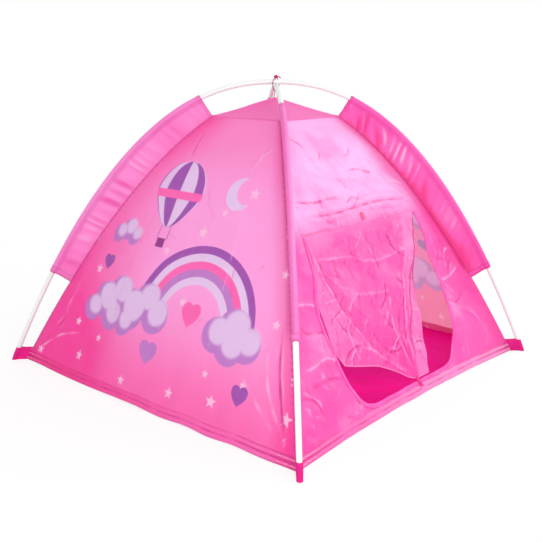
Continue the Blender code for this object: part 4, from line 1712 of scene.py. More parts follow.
        rows = []
        for level in self.hem_stitch_levels:
            line_x = np.linspace(-1, 1, 400) * (wall.half_width(level) - 0.006)
            line_height = np.full(400, level + self.canopy.foot_height)
            rows.append(stitches(wall.place(line_x, line_height, 0.0007), wall.outward(line_height)))
        name = f"{wall.side.label}_hem"
        piece = band.put(f"{name}_band", material, Slot.BAND, name)
        Surface.join(rows).put(f"{name}_stitches", self.finishes.thread, Slot.BAND)
        return piece

    def _door_tape(self) -> Object:
        """The tape folded over the doorway's raw edge, with a row of stitches along it."""
        outline = self.doorway.outline(420)
        ahead = unit(np.gradient(outline, axis=0))
        outside = np.stack([ahead[:, 1], -ahead[:, 0]], -1)
        profile = np.array(self.tape_profile)
        flat = outline[:, None] + outside[:, None] * profile[None, :, :1]
        points = self.door.place(flat[..., 0], flat[..., 1], np.broadcast_to(profile[:, 1], flat.shape[:2]))
        tape = Surface.grid(points, close_columns=True, cap_ends=True)
        line = outline + outside * self.tape_stitch_line
        thread = stitches(self.door.place(line[:, 0], line[:, 1], 0.0014), self.door.outward(line[:, 1]))
        piece = tape.put("doorway_tape", self.finishes.tape, Slot.BAND, "door_binding")
        thread.put("doorway_stitches", self.finishes.thread, Slot.BAND)
        return piece


@dataclass
class RoofCap:
    """The square cap over the walls' top edges, drawn up to a point under the crossing."""

    canopy: Canopy
    finishes: Finishes
    rise: float = 0.058
    power: float = 1.15
    flange: float = 0.0045
    flange_lift: float = 0.0007
    seam_gap: float = 0.0006
    overhang: float = 0.0012
    face_sag: float = 0.0035
    sag_power: float = 0.8
    ridge_rise: float = 0.0010
    ridge_power: int = 40
    first_ring: float = 0.02
    columns_a_side: int = 56
    rows: int = 44
    flange_rows: int = 6
    thickness: float = 0.0004
    wrinkles = (Crumple(91, 0.0008, 0.06, 0.16), CreaseField(92, 14, 0.16, -0.16, 0.16, 0.0016))

    @property
    def rim_height(self) -> float:
        """Height of the rim, a gap over the walls' seam."""
        seam = self.canopy.seam_height
        return seam - self.seam_gap * float(self.canopy.wall_normal(np.array(seam))[1])

    def height(self, share: Array) -> Array:
        """Height of the cap at a share of the way from its apex to its rim."""
        return self.rim_height + self.rise * np.clip(1 - share, 0, 1) ** self.power

    def build(self) -> None:
        """Make the cap and its stitches: squares from the apex to the rim, then a flange down the walls."""
        seam = self.canopy.seam_height
        flange = 1 + np.linspace(0, 1, self.flange_rows + 1)[1:]
        share = np.concatenate([np.linspace(self.first_ring, 1, self.rows), flange])[:, None]
        side = np.linspace(-1, 1, self.columns_a_side, endpoint=False)
        edge = np.stack([side, side * 0 - 1, side * 0], -1)
        corner = np.concatenate([turned(edge, quarter * math.pi / 2) for quarter in range(4)])
        place = np.concatenate([side] * 4)
        inside = np.clip(share, 0, 1)

        drop = np.clip(share - 1, 0, 1) * self.flange
        flange_height = self.canopy.height_at_run(self.canopy.run(seam) - drop)
        flange_half = self.canopy.half_width(flange_height)
        half = np.where(share <= 1, share * self.canopy.half_width(seam), flange_half)
        half = half + self.overhang * step(share, 0.90, 1.0)
        x, y = corner[:, 0] * half, corner[:, 1] * half
        height = np.where(share <= 1, self.height(share), flange_height + self.flange_lift)
        sag = self.face_sag * (1 - place**2) * np.sin(math.pi * inside) ** self.sag_power
        crumple = sum(shape.relief(x, y) for shape in self.wrinkles)
        crumple = crumple * np.clip(1 + self.first_ring - share, 0, 1)
        z = height - sag + crumple + self.ridge_rise * np.abs(place) ** self.ridge_power * inside
        points = np.stack([x, y, z], -1)
        count = len(place)
        uv = points[::-1, [*range(count), 0], :2]
        # The cap's painted highlight and shade follow how sharply its crumples bend.
        painted_light = folding(crumple, points)[::-1]
        surface = Surface.grid(points[::-1], uv, painted_light=painted_light, close_columns=True)
        surface = surface.with_face(np.arange(count) + (len(points) - 1) * count, points[0, :, :2])
        finish, thickness = self.finishes.cap, self.thickness
        piece = surface.put("roof_cap_cloth", finish, Slot.TRIM, "roof_cap", thickness=thickness)
        width = 2 * (float(self.canopy.half_width(seam)) + self.flange)
        slope = math.hypot(self.rise, width / 2) / (width / 2)

        line = np.concatenate([points[-3], points[-3][:1]])
        away = unit(line * (1, 1, 0)) * 0.8 + (0, 0, 0.6)
        stitches(line, away).put("roof_cap_stitches", self.finishes.thread, Slot.TRIM)


@dataclass
class Poles:
    """Two bowed poles, each of five plastic tubes with a plug in each end."""

    frame: Frame
    finishes: Finishes
    sides: int = 28
    axis_points: int = 3001
    station_step: float = 0.010
    fewest_stations: int = 12
    lip: float = 0.0005
    plug_sides: int = 32
    plug_cap: float = 0.004
    plug_gap: float = 0.0003
    spigot: float = 0.016
    spigot_clearance: float = 0.0005

    def line(self, upper: bool) -> Array:
        """A pole's axis from foot to foot in its own upright plane, as (distance, 0, height)."""
        distance = np.linspace(-self.frame.foot_radius, self.frame.foot_radius, self.axis_points)
        return np.stack([distance, np.zeros_like(distance), self.frame.height(distance, upper)], -1)

    def build(self) -> None:
        """Make both poles and dress the connectors inside their joints."""
        self._pole("front_back_pole", False, math.pi / 4, ("front", "back"))
        self._pole("left_right_pole", True, -math.pi / 4, ("left", "right"))
        for name in frame["nodes"]:
            if "connector" in name:
                for place in bpy.data.objects[name].material_slots:
                    place.material = self.finishes.plug

    def _pole(self, name: str, upper: bool, turn: float, feet: tuple[str, str]) -> None:
        """One pole: hollow tubes with rounded lips, end to end, and a plug in each foot."""
        line = self.line(upper)
        total = float(running_length(line)[-1])
        inner = self.frame.middle_length / 2
        outer = inner + self.frame.side_length
        middle = total / 2
        joints = [0.0, middle - outer, middle - inner, middle + inner, middle + outer, total]
        for number, (start, end) in enumerate(zip(joints, joints[1:]), 1):
            start += self.frame.joint_gap / 2 if number > 1 else 0
            end -= self.frame.joint_gap / 2 if end < total else 0
            points = self._tube(line, start, end)
            surface = Surface.grid(turned(points, turn), close_rows=True, close_columns=True)
            node = f"{name}_section_{number}"
            surface.put(f"{name}_tube_{number}", self.finishes.tube, Slot.TUBE, node)
        for foot, path in zip(feet, (line, line[::-1])):
            self._plug(foot, turned(path, turn))

    def _tube(self, line: Array, start: float, end: float) -> Array:
        """Rings out along a tube's outer face and back along its bore."""
        radius, bore = self.frame.radius, self.frame.radius - self.frame.wall
        count = max(int((end - start) / self.station_step), self.fewest_stations)
        middle = np.linspace(start + self.lip * 3, end - self.lip * 3, count)
        stations = np.concatenate([[start, start + self.lip], middle, [end - self.lip, end]])
        radii = np.full(len(stations), radius)
        radii[[0, -1]] = radius - self.lip
        outer = swept(at_stations(line, stations), ring(self.sides)[None] * radii[:, None, None], (0, 1, 0))
        back = at_stations(line, stations[::-1])
        inner = swept(back, ring(self.sides)[None] * bore, (0, 1, 0))[:, ::-1]
        # The bore's path runs backward, so its rings are turned to line up with the outer face.
        inner = np.roll(inner, self.sides // 2 + 1, axis=1)
        return np.concatenate([outer, inner])

    def _plug(self, foot: str, path: Array) -> None:
        """A plug: a spigot in the tube, and a cap with a worn round edge under the foot."""
        ahead = unit(path[1] - path[0])
        bore = self.frame.radius - self.frame.wall - self.spigot_clearance
        radius, cap, gap = self.frame.radius, self.plug_cap, self.plug_gap
        rings = (
            (-self.spigot, bore - 0.0006),
            (0.0008 - self.spigot, bore),
            (gap, bore),
            (gap, radius - 0.0004),
            (gap + 0.0004, radius),
            (cap - 0.0008, radius),
            (cap - 0.0002, radius - 0.0005),
            (cap, radius - 0.0013),
        )
        stations, radii = np.array(rings).T
        centres = path[0] - ahead * stations[:, None]
        surface = rod(centres, radii, self.plug_sides, np.cross(ahead, (0, 0, 1.0)))
        surface.put(f"{foot}_foot_plug", self.finishes.plug, Slot.PLASTIC, f"{foot}_pole_plug")


@dataclass(frozen=True)
class Corner:
    """One corner of the tent and how its sleeve hangs.

    The pleats are deepest at the gather, 0 at the sleeve's foot and 1 at its head, and shift by the lean
    toward the foot from the ridge to the pole. The painted shade along the root's seam runs from its foot
    value to its head value, and the left shade is a painted shade on the layer left of the pole. A sleeve on
    the lit side takes the lit copy of the fin cloth, the others the shaded copy.
    """

    name: str
    upper: bool
    quarters: float
    gather: float
    lean: float
    neighbour: str
    pale: bool = False
    root_shade: Pair = (0.8, 0.8)
    left_shade: float = 0.0

    @property
    def turn(self) -> float:
        """The corner's turn about the upright axis in radians, from +X."""
        return self.quarters * math.pi / 2


# The left and front sleeves are on the lit side; their cloth is the lit copy of the fin cloth.
CORNERS = (
    Corner("right", True, -0.5, 0.76, -0.046, "right_wall_cloth", root_shade=(4.4, 1.0)),
    Corner("back", False, 0.5, 0.5, -0.020, "back_wall_cloth"),
    Corner("left", True, 1.5, 0.42, 0.014, "left_wall_cloth", pale=True),
    Corner("front", False, 2.5, 0.5, 0.014, "left_wall_cloth", pale=True, left_shade=0.55),
)


@dataclass
class Sleeves:
    """Cloth folded over each pole, with a flat web down to the ridge and a stitched tunnel."""

    canopy: Canopy
    finishes: Finishes
    foot_height: float = 0.262
    pole_clearance: float = 0.0014
    half_gap: float = 0.0003
    opening_angle: float = math.radians(50)
    neck_length: float = 0.006
    tunnel_width: float = 0.0140
    stations: int = 190
    web_columns: int = 22
    arc_columns: int = 26
    root: float = 0.0030
    ripple: float = 0.0066
    ripple_length: float = 0.034
    gather_reach: float = 0.28
    pleat_shade: float = 0.0033
    root_shade_width: float = 0.0110
    hem_width: float = 0.010
    hem_lift: float = 0.0008
    hem_shade = (-2.6, -1.7, -0.4, 0.0, 0.0, 0.0, -1.5)
    thickness: float = 0.0004

    @property
    def wrap(self) -> float:
        """Radius of the cloth round the pole."""
        return self.canopy.frame.radius + self.pole_clearance

    def reach(self, distance: Array, upper: bool) -> Array:
        """Length of the square off the ridge up to the pole's axis, found by halving."""
        frame = self.canopy.frame
        normal = self.canopy.ridge_normal(distance)
        base = np.stack([distance, self.canopy.ridge_height(distance)], -1)
        low, high = np.zeros_like(distance), np.full_like(distance, 0.4)
        for _ in range(40):
            middle = (low + high) / 2
            out, up = (base + normal * middle[:, None]).T
            inside = (out < frame.foot_radius) & (up < frame.height(out, upper))
            low, high = np.where(inside, middle, low), np.where(inside, high, middle)
        return low

    def profile(self, reach: Array) -> Array:
        """The fold's cross-section as (out, side): up the web, round the pole and down again.

        Args:
            reach: distance of the pole's axis, one for each station.

        Returns:
            Stations by columns by 2.
        """
        end = math.pi - self.opening_angle
        angle = np.linspace(-end, end, self.arc_columns)
        around = np.broadcast_to(self.wrap * np.sin(angle), (len(reach), self.arc_columns))
        arc = np.stack([reach[:, None] + self.wrap * np.cos(angle), around], -1)
        neck = (reach - self.wrap - self.neck_length)[:, None]
        out = np.linspace(0, 1, self.web_columns) * (neck + self.root) - self.root
        side = np.full_like(out, self.half_gap)
        left = np.stack([out, -side], -1)
        right = np.stack([out, side], -1)[:, ::-1]
        return np.concatenate([left, arc, right], 1)

    def shape(self, distance: Array, corner: Corner, lift: float = 0.0) -> Array:
        """The fold's points in the upright plane through the +X corner.

        Both layers of the web sway to the same side in soft pleats, most in the middle of the web.

        Args:
            distance: ridge distances of the stations.
            corner: the corner that the sleeve belongs to.
            lift: distance off the outer face.

        Returns:
            Stations by columns by 3.
        """
        reach = self.reach(distance, corner.upper)
        profile = self.profile(reach)
        along = np.gradient(profile, axis=1)
        profile = profile + unit(np.stack([along[..., 1], -along[..., 0]], -1)) * lift
        share = np.clip(profile[..., 0] / (reach - self.wrap)[:, None], 0, 1)
        side = profile[..., 1] + self._pleats(self._run(distance)[:, None], share, corner)
        normal = self.canopy.ridge_normal(distance)[:, None]
        base = np.stack([distance, self.canopy.ridge_height(distance)], -1)[:, None]
        place = base + normal * profile[..., :1]
        return np.stack([place[..., 0], side, place[..., 1]], -1)

    def _run(self, distance: Array) -> Array:
        """The ridge's running length from its foot to a distance from the middle."""
        distances = np.linspace(0.05, self.canopy.corner_radius, 600)
        length = running_length(np.stack([distances, self.canopy.ridge_height(distances)], -1))
        return np.interp(distance, distances, length[-1] - length)

    def _pleats(self, run: Array, share: Array, corner: Corner) -> Array:
        """Sideways sway of the web: uneven waves along it, which lean, plus a slow drift."""
        gather = corner.gather
        levels = (self.foot_height, self.canopy.seam_height)
        foot, head = (float(self._run(self.canopy.ridge_distance(level))) for level in levels)
        along = (run - foot) / (head - foot)
        gate = 0.20 + 0.80 * hump(along - gather, self.gather_reach)
        swell = np.sin(math.pi * np.clip(share, 0, 1)) ** 0.5
        phase = TURN * (run + corner.lean * share) / self.ripple_length
        waves = np.sin(phase + 1.4 * np.sin(TURN * run / 0.117 + 9 * gather) + 2.0 * np.sin(run / 0.041))
        size = 0.65 + 0.35 * np.sin(TURN * run / 0.074 + 5 * gather)
        slow = np.sin(TURN * run / 0.27 + 7 * gather)
        return self.ripple * swell * (gate * size * waves * 0.7 + slow * 0.35)

    def build(self) -> None:
        """Make the four sleeves with their end hems and stitches."""
        for corner in CORNERS:
            self._sleeve(corner)

    def _sleeve(self, corner: Corner) -> None:
        """One sleeve: its folded cloth, a hem at each end and two rows of stitches."""
        name, turn = corner.name, corner.turn
        levels = (self.foot_height, self.canopy.seam_height)
        foot, head = (self.canopy.ridge_distance(level) for level in levels)
        length = float(self._run(head) - self._run(foot))
        distance = np.linspace(foot, head, self.stations)
        points = self.shape(distance, corner)
        surface = Surface.grid(turned(points, turn), painted_light=self._shading(points, distance, corner))
        cloth = self.finishes.pale_fin if corner.pale else self.finishes.fin
        outer = {"thickness": self.thickness, "offset": 1.0}
        piece = surface.put(f"{name}_pole_sleeve", cloth, Slot.TRIM, f"{name}_sleeve", **outer)

        ends = []
        # Each end hem carries painted shade: darkest where it meets the sleeve and dark again at its outer
        # end.
        shade = np.array(self.hem_shade)[:, None]
        for near, far, tone in (
            (foot, foot - self.hem_width, shade),
            (head + self.hem_width * 0.8, head, shade[::-1]),
        ):
            band = self.shape(np.linspace(near, far, len(shade)), corner, self.hem_lift)
            ends.append(Surface.grid(turned(band, turn), painted_light=np.broadcast_to(tone, band.shape[:2])))
        hems = Surface.join(ends).put(f"{name}_sleeve_hems", cloth, Slot.TRIM, **outer)
        thread = self._tunnel_stitches(distance, corner, points)
        thread.put(f"{name}_sleeve_stitches", self.finishes.thread, Slot.TRIM)

    def _shading(self, points: Array, distance: Array, corner: Corner) -> Array:
        """Each point's painted light: a painted highlight where a pleat swells, and painted shade in its
        valleys, along the root's seam and on the layer left of the pole.

        Args:
            points: the fold's points.
            distance: ridge distances of its stations.
            corner: the corner that it belongs to.

        Returns:
            The painted light, above 0 for a painted highlight and below 0 for a painted shade.
        """
        flat = self.profile(self.reach(distance, corner.upper))
        sway = points[..., 1] - flat[..., 1]
        facing = np.where(np.arange(points.shape[1]) < points.shape[1] / 2, -1, 1)
        painted_light = (sway - sway.mean(0)) * facing / self.pleat_shade
        seam = np.linspace(*corner.root_shade, self.stations)[:, None]
        painted_light = painted_light - seam * np.exp(-np.maximum(flat[..., 0], 0) / self.root_shade_width)
        return painted_light - corner.left_shade * (1 - np.tanh(flat[..., 1] / 0.002))

    def _tunnel_stitches(self, distance: Array, corner: Corner, points: Array) -> Surface:
        """Two rows of stitches, one on each face, that close the tunnel below the pole."""
        reach = self.reach(distance, corner.upper)
        neck = reach - self.wrap - self.neck_length
        level = np.clip((reach - self.tunnel_width) / neck, 0, 1) * (self.web_columns - 1)
        index = np.clip(level.astype(int), 0, self.web_columns - 2)
        share = (level - index)[:, None]
        rows = np.arange(len(distance))
        result = []
        for sense in (-1, 1):
            first = index if sense < 0 else points.shape[1] - 1 - index
            line = points[rows, first] * (1 - share) + points[rows, first - sense] * share
            away = np.broadcast_to([0.0, float(sense), 0.0], line.shape)
            line = line + away * (self.thickness + 0.0001)
            result.append(stitches(turned(line, corner.turn), turned(away, corner.turn)))
        return Surface.join(result)


@dataclass
class CornerPockets:
    """Woven straps that cup each pole's foot and are drawn in to the canopy's corner."""

    canopy: Canopy
    finishes: Finishes
    poles: Poles
    height: float = 0.042
    clearance: float = 0.0005
    wall: float = 0.0012
    web: float = 0.0028
    ridge_gap: float = 0.0004
    shoulder: float = math.radians(115)
    reach_share: float = 0.77
    pinch_share: float = 0.385
    bottom: float = 0.0035
    taper: float = 0.12
    selvage: float = 0.04
    selvage_swell: float = 0.075
    selvage_levels: Pair = (0.07, 0.93)
    mouth_wave: float = 0.0004
    mouth_inset: float = 0.0010
    stitch_box: tuple[Pair, Pair] = ((0.18, 0.12), (0.80, 0.88))
    stitch_size: tuple[float, float, float] = (0.0030, 0.0022, 0.0003)
    columns: int = 120
    rows: int = 22

    @property
    def wrap(self) -> float:
        """Radius of the strap round the pole."""
        return self.canopy.frame.radius + self.clearance + self.wall

    def build(self) -> None:
        """Make the four pockets."""
        for corner in CORNERS:
            self._pocket(corner)

    def _web(self, share: Array) -> Array:
        """Half the web's thickness, from the shoulder to the pinch, at a share of the way to the ridge."""
        start = self.wrap * math.sin(self.shoulder)
        return start + (self.web / 2 - start) * step(np.minimum(share / self.pinch_share, 1), -0.6, 1.0)

    def _pocket(self, corner: Corner) -> None:
        """One pocket: its outline, a strap's width high, with a bore for the pole and a closed bottom.

        The outline is a round over the outer part, narrowing behind the pole to a flat double web.
        """
        line = self.poles.line(corner.upper)[::-1]
        foot = line[0]
        above = at_stations(line, np.array([self.height]))[0]
        lean = (above[0] - foot[0]) / (above[2] - foot[2])
        wrap, back = self.wrap, self.wrap * math.cos(self.shoulder)

        angle = np.linspace(-math.pi, math.pi, self.columns, endpoint=False)[None]
        level = np.linspace(0, 1, self.rows)[:, None]
        height = level * self.height + self.mouth_wave * np.sin(9 * angle) * step(level, 0.8, 1.0)
        height = np.clip(height, 0, self.height)
        axis = foot[0] + lean * (height - foot[2])
        size = np.abs(angle)
        is_round = size <= self.shoulder
        share = np.clip((size - self.shoulder) / (math.pi - self.shoulder), 0, 1)
        ridge = self.canopy.ridge_distance(height) + self.ridge_gap
        web_out = axis + back + (ridge - axis - back) * np.minimum(share / self.reach_share, 1)
        out = np.where(is_round, axis + wrap * np.cos(size), web_out)
        side = np.where(is_round, wrap * np.sin(size), self._web(share) * (1 - step(share, 0.90, 1.0)))
        # Ribs of the selvage stand along the strap's upper and lower edges.
        ribs = sum(hump(level - rib, self.selvage) for rib in self.selvage_levels)
        side = side * (1 + self.selvage_swell * ribs)
        taper = 1 - self.taper * (1 - step(level, 0.0, 0.45))
        out = np.where(out > axis, axis + (out - axis) * taper, out)
        side = np.where(is_round, side * taper, side)
        outer = np.stack([out, side * np.sign(angle + 1e-9), height], -1)

        bore = self.canopy.frame.radius + self.clearance
        depth = np.linspace(1, 0, 8)[:, None]
        inner_height = self.bottom + (self.height - self.bottom - self.mouth_inset) * depth + 0 * angle
        inner_axis = foot[0] + lean * (inner_height - foot[2])
        inner_side = bore * np.sin(angle) + 0 * depth
        inner = np.stack([inner_axis + bore * np.cos(angle), inner_side, inner_height], -1)
        grid = turned(np.concatenate([outer, inner]), corner.turn)
        surface = Surface.grid(grid, close_columns=True, cap_ends=True)

        thread = []
        for sense in (-1, 1):
            for box in box_lines(*self.stitch_box, "ab bc cd da ac", 20):
                along, z = box[:, 0], box[:, 1] * self.height
                start = foot[0] + lean * (z - foot[2]) + back
                x = start + (self.canopy.ridge_distance(z) - start) * along
                y = sense * (self._web(along * self.reach_share) + 0.0002)
                path = turned(np.stack([x, y, z], -1), corner.turn)
                away = turned(np.broadcast_to([0.0, float(sense), 0.0], path.shape), corner.turn)
                thread.append(stitches(path, away, *self.stitch_size))
        name = corner.name
        surface.put(f"{name}_foot_pocket", self.finishes.strap, Slot.DEEP, f"{name}_corner_pocket")
        Surface.join(thread).put(f"{name}_pocket_stitches", self.finishes.thread, Slot.DEEP)


@dataclass
class Groundsheet:
    """The floor: a loose sheet sewn to the walls' feet, with soft wrinkles that lie flat in between."""

    walls: Walls
    finishes: Finishes
    thickness: float = 0.0004
    columns: int = 200
    wrinkle: float = 0.0022
    edge_gap: float = 0.0011
    seam_height: float = 0.0012
    rim_height: float = 0.0050
    ground_gap: float = 0.0001
    fade_power: int = 12
    wrinkles = (
        Crumple(7, 1.0, 0.05, 0.22, sharpness=0.75),
        Crumple(8, 0.35, 0.020, 0.055, sharpness=0.5),
    )
    packing_folds = Crease.several(
        (0.9, 0.006, 0, -560, -190, 0, -185, 560, -192),
        (0.9, 0.006, 0, -560, 190, 0, 194, 560, 190),
        (0.9, 0.006, 0, -190, -560, -186, 0, -190, 560),
        (0.9, 0.006, 0, 190, -560, 193, 0, 190, 560),
    )

    def build(self) -> None:
        """Make the floor between its four edges, which turn up inside the walls."""
        half = float(self.walls.canopy.half_width(0.0))
        edge = {side: self._edge(side, self.seam_height)[:, :2] for side in Side}
        flat = blended(edge[Side.DOOR], edge[Side.BACK][::-1], edge[Side.LEFT][::-1], edge[Side.RIGHT])
        x, y = flat[..., 0], flat[..., 1]
        u = np.abs(np.linspace(-1, 1, self.columns))
        fade = np.clip(1 - np.maximum(u[None], u[:, None]) ** self.fade_power, 0, 1)
        soft = sum(shape.relief(x, y) for shape in self.wrinkles)
        folds = sum(crease.relief(x, y) for crease in self.packing_folds)
        swell = self.wrinkle * fade * np.clip(0.55 + 0.5 * soft + folds, 0, 3)
        z = self.thickness + self.ground_gap + swell
        points = np.concatenate([flat, z[..., None]], -1)
        rim = {side: self._edge(side, self.rim_height) for side in Side}
        points[0], points[-1] = rim[Side.DOOR], rim[Side.BACK][::-1]
        points[1:-1, -1], points[1:-1, 0] = rim[Side.RIGHT][1:-1], rim[Side.LEFT][::-1][1:-1]
        # Painted highlight and shade on the floor follow its soft wrinkles.
        surface = Surface.grid(points, flat, flat / half, painted_light=soft * 0.4 * fade)
        finish, thickness = self.finishes.floor, self.thickness
        piece = surface.put("groundsheet", finish, Slot.DEEP, "floor_sheet", thickness=thickness)

    def _edge(self, side: Side, height: float) -> Array:
        """The sheet's edge along one wall, just inside the wall's cloth at a height."""
        wall = next(wall for wall in (self.walls.door, *self.walls.printed) if wall.side is side)
        x = np.linspace(-1, 1, self.columns) * (wall.canopy.half_width(height) - self.edge_gap)
        return wall.place(x, np.full(self.columns, height), -self.edge_gap)


@dataclass
class DoorFlap:
    """The door's cloth, sewn over the doorway's top edge and gathered to one point at the sill."""

    walls: Walls
    finishes: Finishes
    columns: int = 212
    rows: int = 196
    thickness: float = 0.0004
    lap_lift: float = 0.0012
    gather_lift: float = 0.0022
    gather_point: Pair = (0.045, 0.050)
    gather_reach: float = 0.055
    gather_calm: float = 0.93
    sag: float = 0.0085
    sag_power: float = 0.7
    calm_band: Pair = (-0.004, 0.030)
    seam_ends: Pair = (-0.2835, 0.2580)
    seam_height: float = 0.4995
    free_height: float = 0.492
    stitch_heights: Pair = (0.4970, 0.4935)
    hem_half_size: Pair = (0.0020, 0.0009)
    hem_points: int = 420
    hem_ends: int = 8
    flat_size: Pair = (0.600, 0.470)
    wrinkles = (
        Crumple(21, 0.0032, 0.070, 0.20, 12, 0.5),
        CreaseField(23, 34, 0.26, 0.06, 0.48, 0.0028, 0.0052),
        *Crease.several(
            (0.0030, 0.015, -0.009, -276, 485, -266, 444, -252, 402, -238, 356, -218, 304,
             -188, 264, -157, 220, -125, 174, -88, 135),
            (0.0028, 0.007, -0.002, -176, 271, -198, 255, -206, 237, -206, 196, -192, 160),
            (0.0030, 0.008, 0, -262, 434, -200, 428, -138, 423, -88, 414, -53, 395),
            (0.0028, 0.008, 0, -60, 399, 19, 390, 85, 392, 150, 401, 220, 394),
            (0.0020, 0.006, 0, -285, 328, -255, 328, -224, 324),
            (0.0016, 0.008, 0, -190, 336, -116, 318, -43, 307, 19, 301, 75, 303),
            (0.0070, 0.009, 0, 170, 400, 126, 333, 90, 262, 69, 200, 52, 130, 44, 60),
            (-0.0060, 0.008, 0, 210, 385, 170, 323, 133, 262, 104, 205, 79, 148, 62, 70),
            (0.0034, 0.007, 0, 23, 288, 11, 243, 4, 180, 20, 110, 35, 62),
            (-0.0032, 0.006, 0, 60, 250, 35, 192, 30, 139, 36, 80),
            (-0.0016, 0.008, 0, -98, 479, -100, 434, -88, 414),
            (0.0018, 0.008, 0, 0, 490, -4, 466, -1, 418, 19, 390),
            (0.0026, 0.012, 0, 200, 484, 147, 460, 108, 433),
            (0.0040, 0.010, 0, -240, 240, -170, 190, -90, 140, -10, 80, 30, 55),
            (-0.0036, 0.009, 0, -120, 240, -70, 170, -10, 105, 32, 60),
        ),
    )
    left_edge = line_mm(
        -283.5, 499.5, -285.5, 470, -283.5, 440, -285, 415, -294, 390, -303, 365,
        -310, 340, -311, 315, -307, 280, -298, 240, -285, 200, -270, 165,
    )
    right_edge = line_mm(
        258, 499.5, 248, 473, 232, 440, 209, 385, 187, 339, 165, 285,
        151, 230, 137, 176, 126, 129, 113, 83, 98, 50,
    )
    foot_edge = line_mm(
        -270, 165, -244, 157, -201, 145, -126, 125, -79, 105, -38, 83, -3, 62, 30, 51, 60, 50, 98, 50
    )

    def build(self) -> None:
        """Make the flap with its hem and top seam."""
        seam = np.full(self.columns, self.seam_height)
        top = np.stack([np.linspace(*self.seam_ends, self.columns), seam], -1)
        foot = smooth_line(self.foot_edge, self.columns)
        left, right = (smooth_line(edge, self.rows) for edge in (self.left_edge, self.right_edge))
        flat = blended(top, foot, left, right)[::-1]
        x, height = flat[..., 0], flat[..., 1]
        lift = self._lift(x, height)
        points = self.walls.canopy.wall_point(x, height, True, lift)
        door = self.walls.door
        # The flap's painted highlight and shade follow how sharply its folds bend.
        surface = Surface.grid(points, door.uv(x, height), door.panel(x, height), folding(lift, points))
        flap = {"body": Body.FLAP, "thickness": self.thickness}
        piece = surface.put("door_flap_cloth", self.finishes.flap, Slot.DOOR, "door_flap", **flap)

        trim = [self._edge_hem(points), self._seam_stitches()]

    def _lift(self, x: Array, height: Array) -> Array:
        """Height off the door wall's curve: folds in a soft inward sag.

        The folds die away under the top seam and at the gather.
        """
        gather_x, gather_height = self.gather_point
        below = np.clip((self.free_height - height) / (self.free_height - gather_height), 0, 1)
        gather = hump(np.hypot(x - gather_x, height - gather_height), self.gather_reach)
        sag = -self.sag * np.sin(math.pi * below) ** self.sag_power
        rest = self.lap_lift * (1 - below) + self.gather_lift * gather
        folds = sum(shape.relief(x, height) for shape in self.wrinkles)
        calm = step(self.free_height - height, *self.calm_band) * (1 - self.gather_calm * gather)
        return rest + sag + folds * calm

    def _edge_hem(self, points: Array) -> Object:
        """The narrow rolled hem round the flap's free edges."""
        path = np.concatenate([points[::-1, 0], points[0, 1:], points[1:, -1]])
        path = resampled(path, self.hem_points)[self.hem_ends : -self.hem_ends]
        profile = ring(10) * self.hem_half_size
        along = np.linspace(0, 1, len(path))[:, None]
        panel = np.stack(np.broadcast_arrays(along, np.zeros((1, len(profile) + 1))), -1)
        grid = swept(path, profile, (0, -0.8, 0.6))
        surface = Surface.grid(grid, panel=panel, close_columns=True, cap_ends=True)
        return surface.put("door_flap_hem", self.finishes.flap_edge, Slot.DOOR, body=Body.FLAP)

    def _seam_stitches(self) -> Object:
        """Two rows of stitches across the flap's top seam."""
        canopy, count, margin = self.walls.canopy, 200, 0.006
        rows = []
        for height in self.stitch_heights:
            x = np.linspace(self.seam_ends[0] + margin, self.seam_ends[1] - margin, count)
            line = canopy.wall_point(x, np.full(count, height), True, self.lap_lift + 0.0002)
            rows.append(stitches(line, canopy.wall_normal(np.full(count, height))))
        thread = Surface.join(rows)
        return thread.put("door_flap_stitches", self.finishes.thread, Slot.DOOR, body=Body.FLAP)


@dataclass
class Tab:
    """A short flat strap sewn along its top edge, with rounded lower corners and a box of stitches.

    It is the only node of its body, and the two have the same name.
    """

    walls: Walls
    name: str
    body: Body
    slot: Slot
    material: Material
    thread: Material
    centre: float
    top_height: float
    width: float
    length: float
    lift: float
    slant: float
    thickness: float = 0.0015
    corner: float = 0.0035
    curl: float = 0.0012
    rows: int = 26
    sides: int = 28
    corner_cut: float = 0.45
    corner_power: float = 2.2
    edge_powers: Pair = (0.35, 0.7)
    stitch_margin: float = 0.0025
    stitch_box: tuple[Pair, Pair] = ((-1, 0.10), (1, 0.80))
    stitch_size: tuple[float, float, float] = (0.0032, 0.0024, 0.00028)

    def build(self) -> None:
        """Make the strap as a closed flat tube of cloth, and its stitches."""
        down = np.linspace(0, 1, self.rows)[:, None]
        corner = self.corner / self.length
        narrow = 1 - self.corner_cut * np.clip((down - 1 + corner) / corner, 0, 1) ** self.corner_power
        parts = zip(ring(self.sides).T, self.edge_powers)
        across, through = (np.sign(part) * np.abs(part) ** power for part, power in parts)
        points, _ = self._points(across * narrow * self.width / 2, down, (through + 1) / 2)
        strap = Surface.grid(points, close_columns=True, cap_ends=True)
        strap.put(self.name, self.material, self.slot, self.body.value, body=self.body)

        rows = []
        reach = self.width / 2 - self.stitch_margin
        for line in box_lines(*self.stitch_box, "ab dc ad bc ac bd", 30):
            path, away = self._points(line[:, 0] * reach, line[:, 1], 1)
            rows.append(stitches(path, away, *self.stitch_size))
        Surface.join(rows).put(f"{self.name}_stitches", self.thread, self.slot, body=self.body)

    def _points(self, across: Array, down: Array, through: Array | float) -> tuple[Array, Array]:
        """Points on or in the strap, and the wall's outward direction there.

        Args:
            across: distance from its middle line.
            down: share of its length below the top edge.
            through: share of its thickness above the back.

        Returns:
            The points and the directions.
        """
        canopy = self.walls.canopy
        x = self.centre + self.slant * down * self.length + across
        height = canopy.height_at_run(canopy.run(self.top_height) - down * self.length) + 0 * x
        lift = self.lift + self.curl * down**3 + through * self.thickness
        return canopy.wall_point(x, height, True, lift), canopy.wall_normal(height)


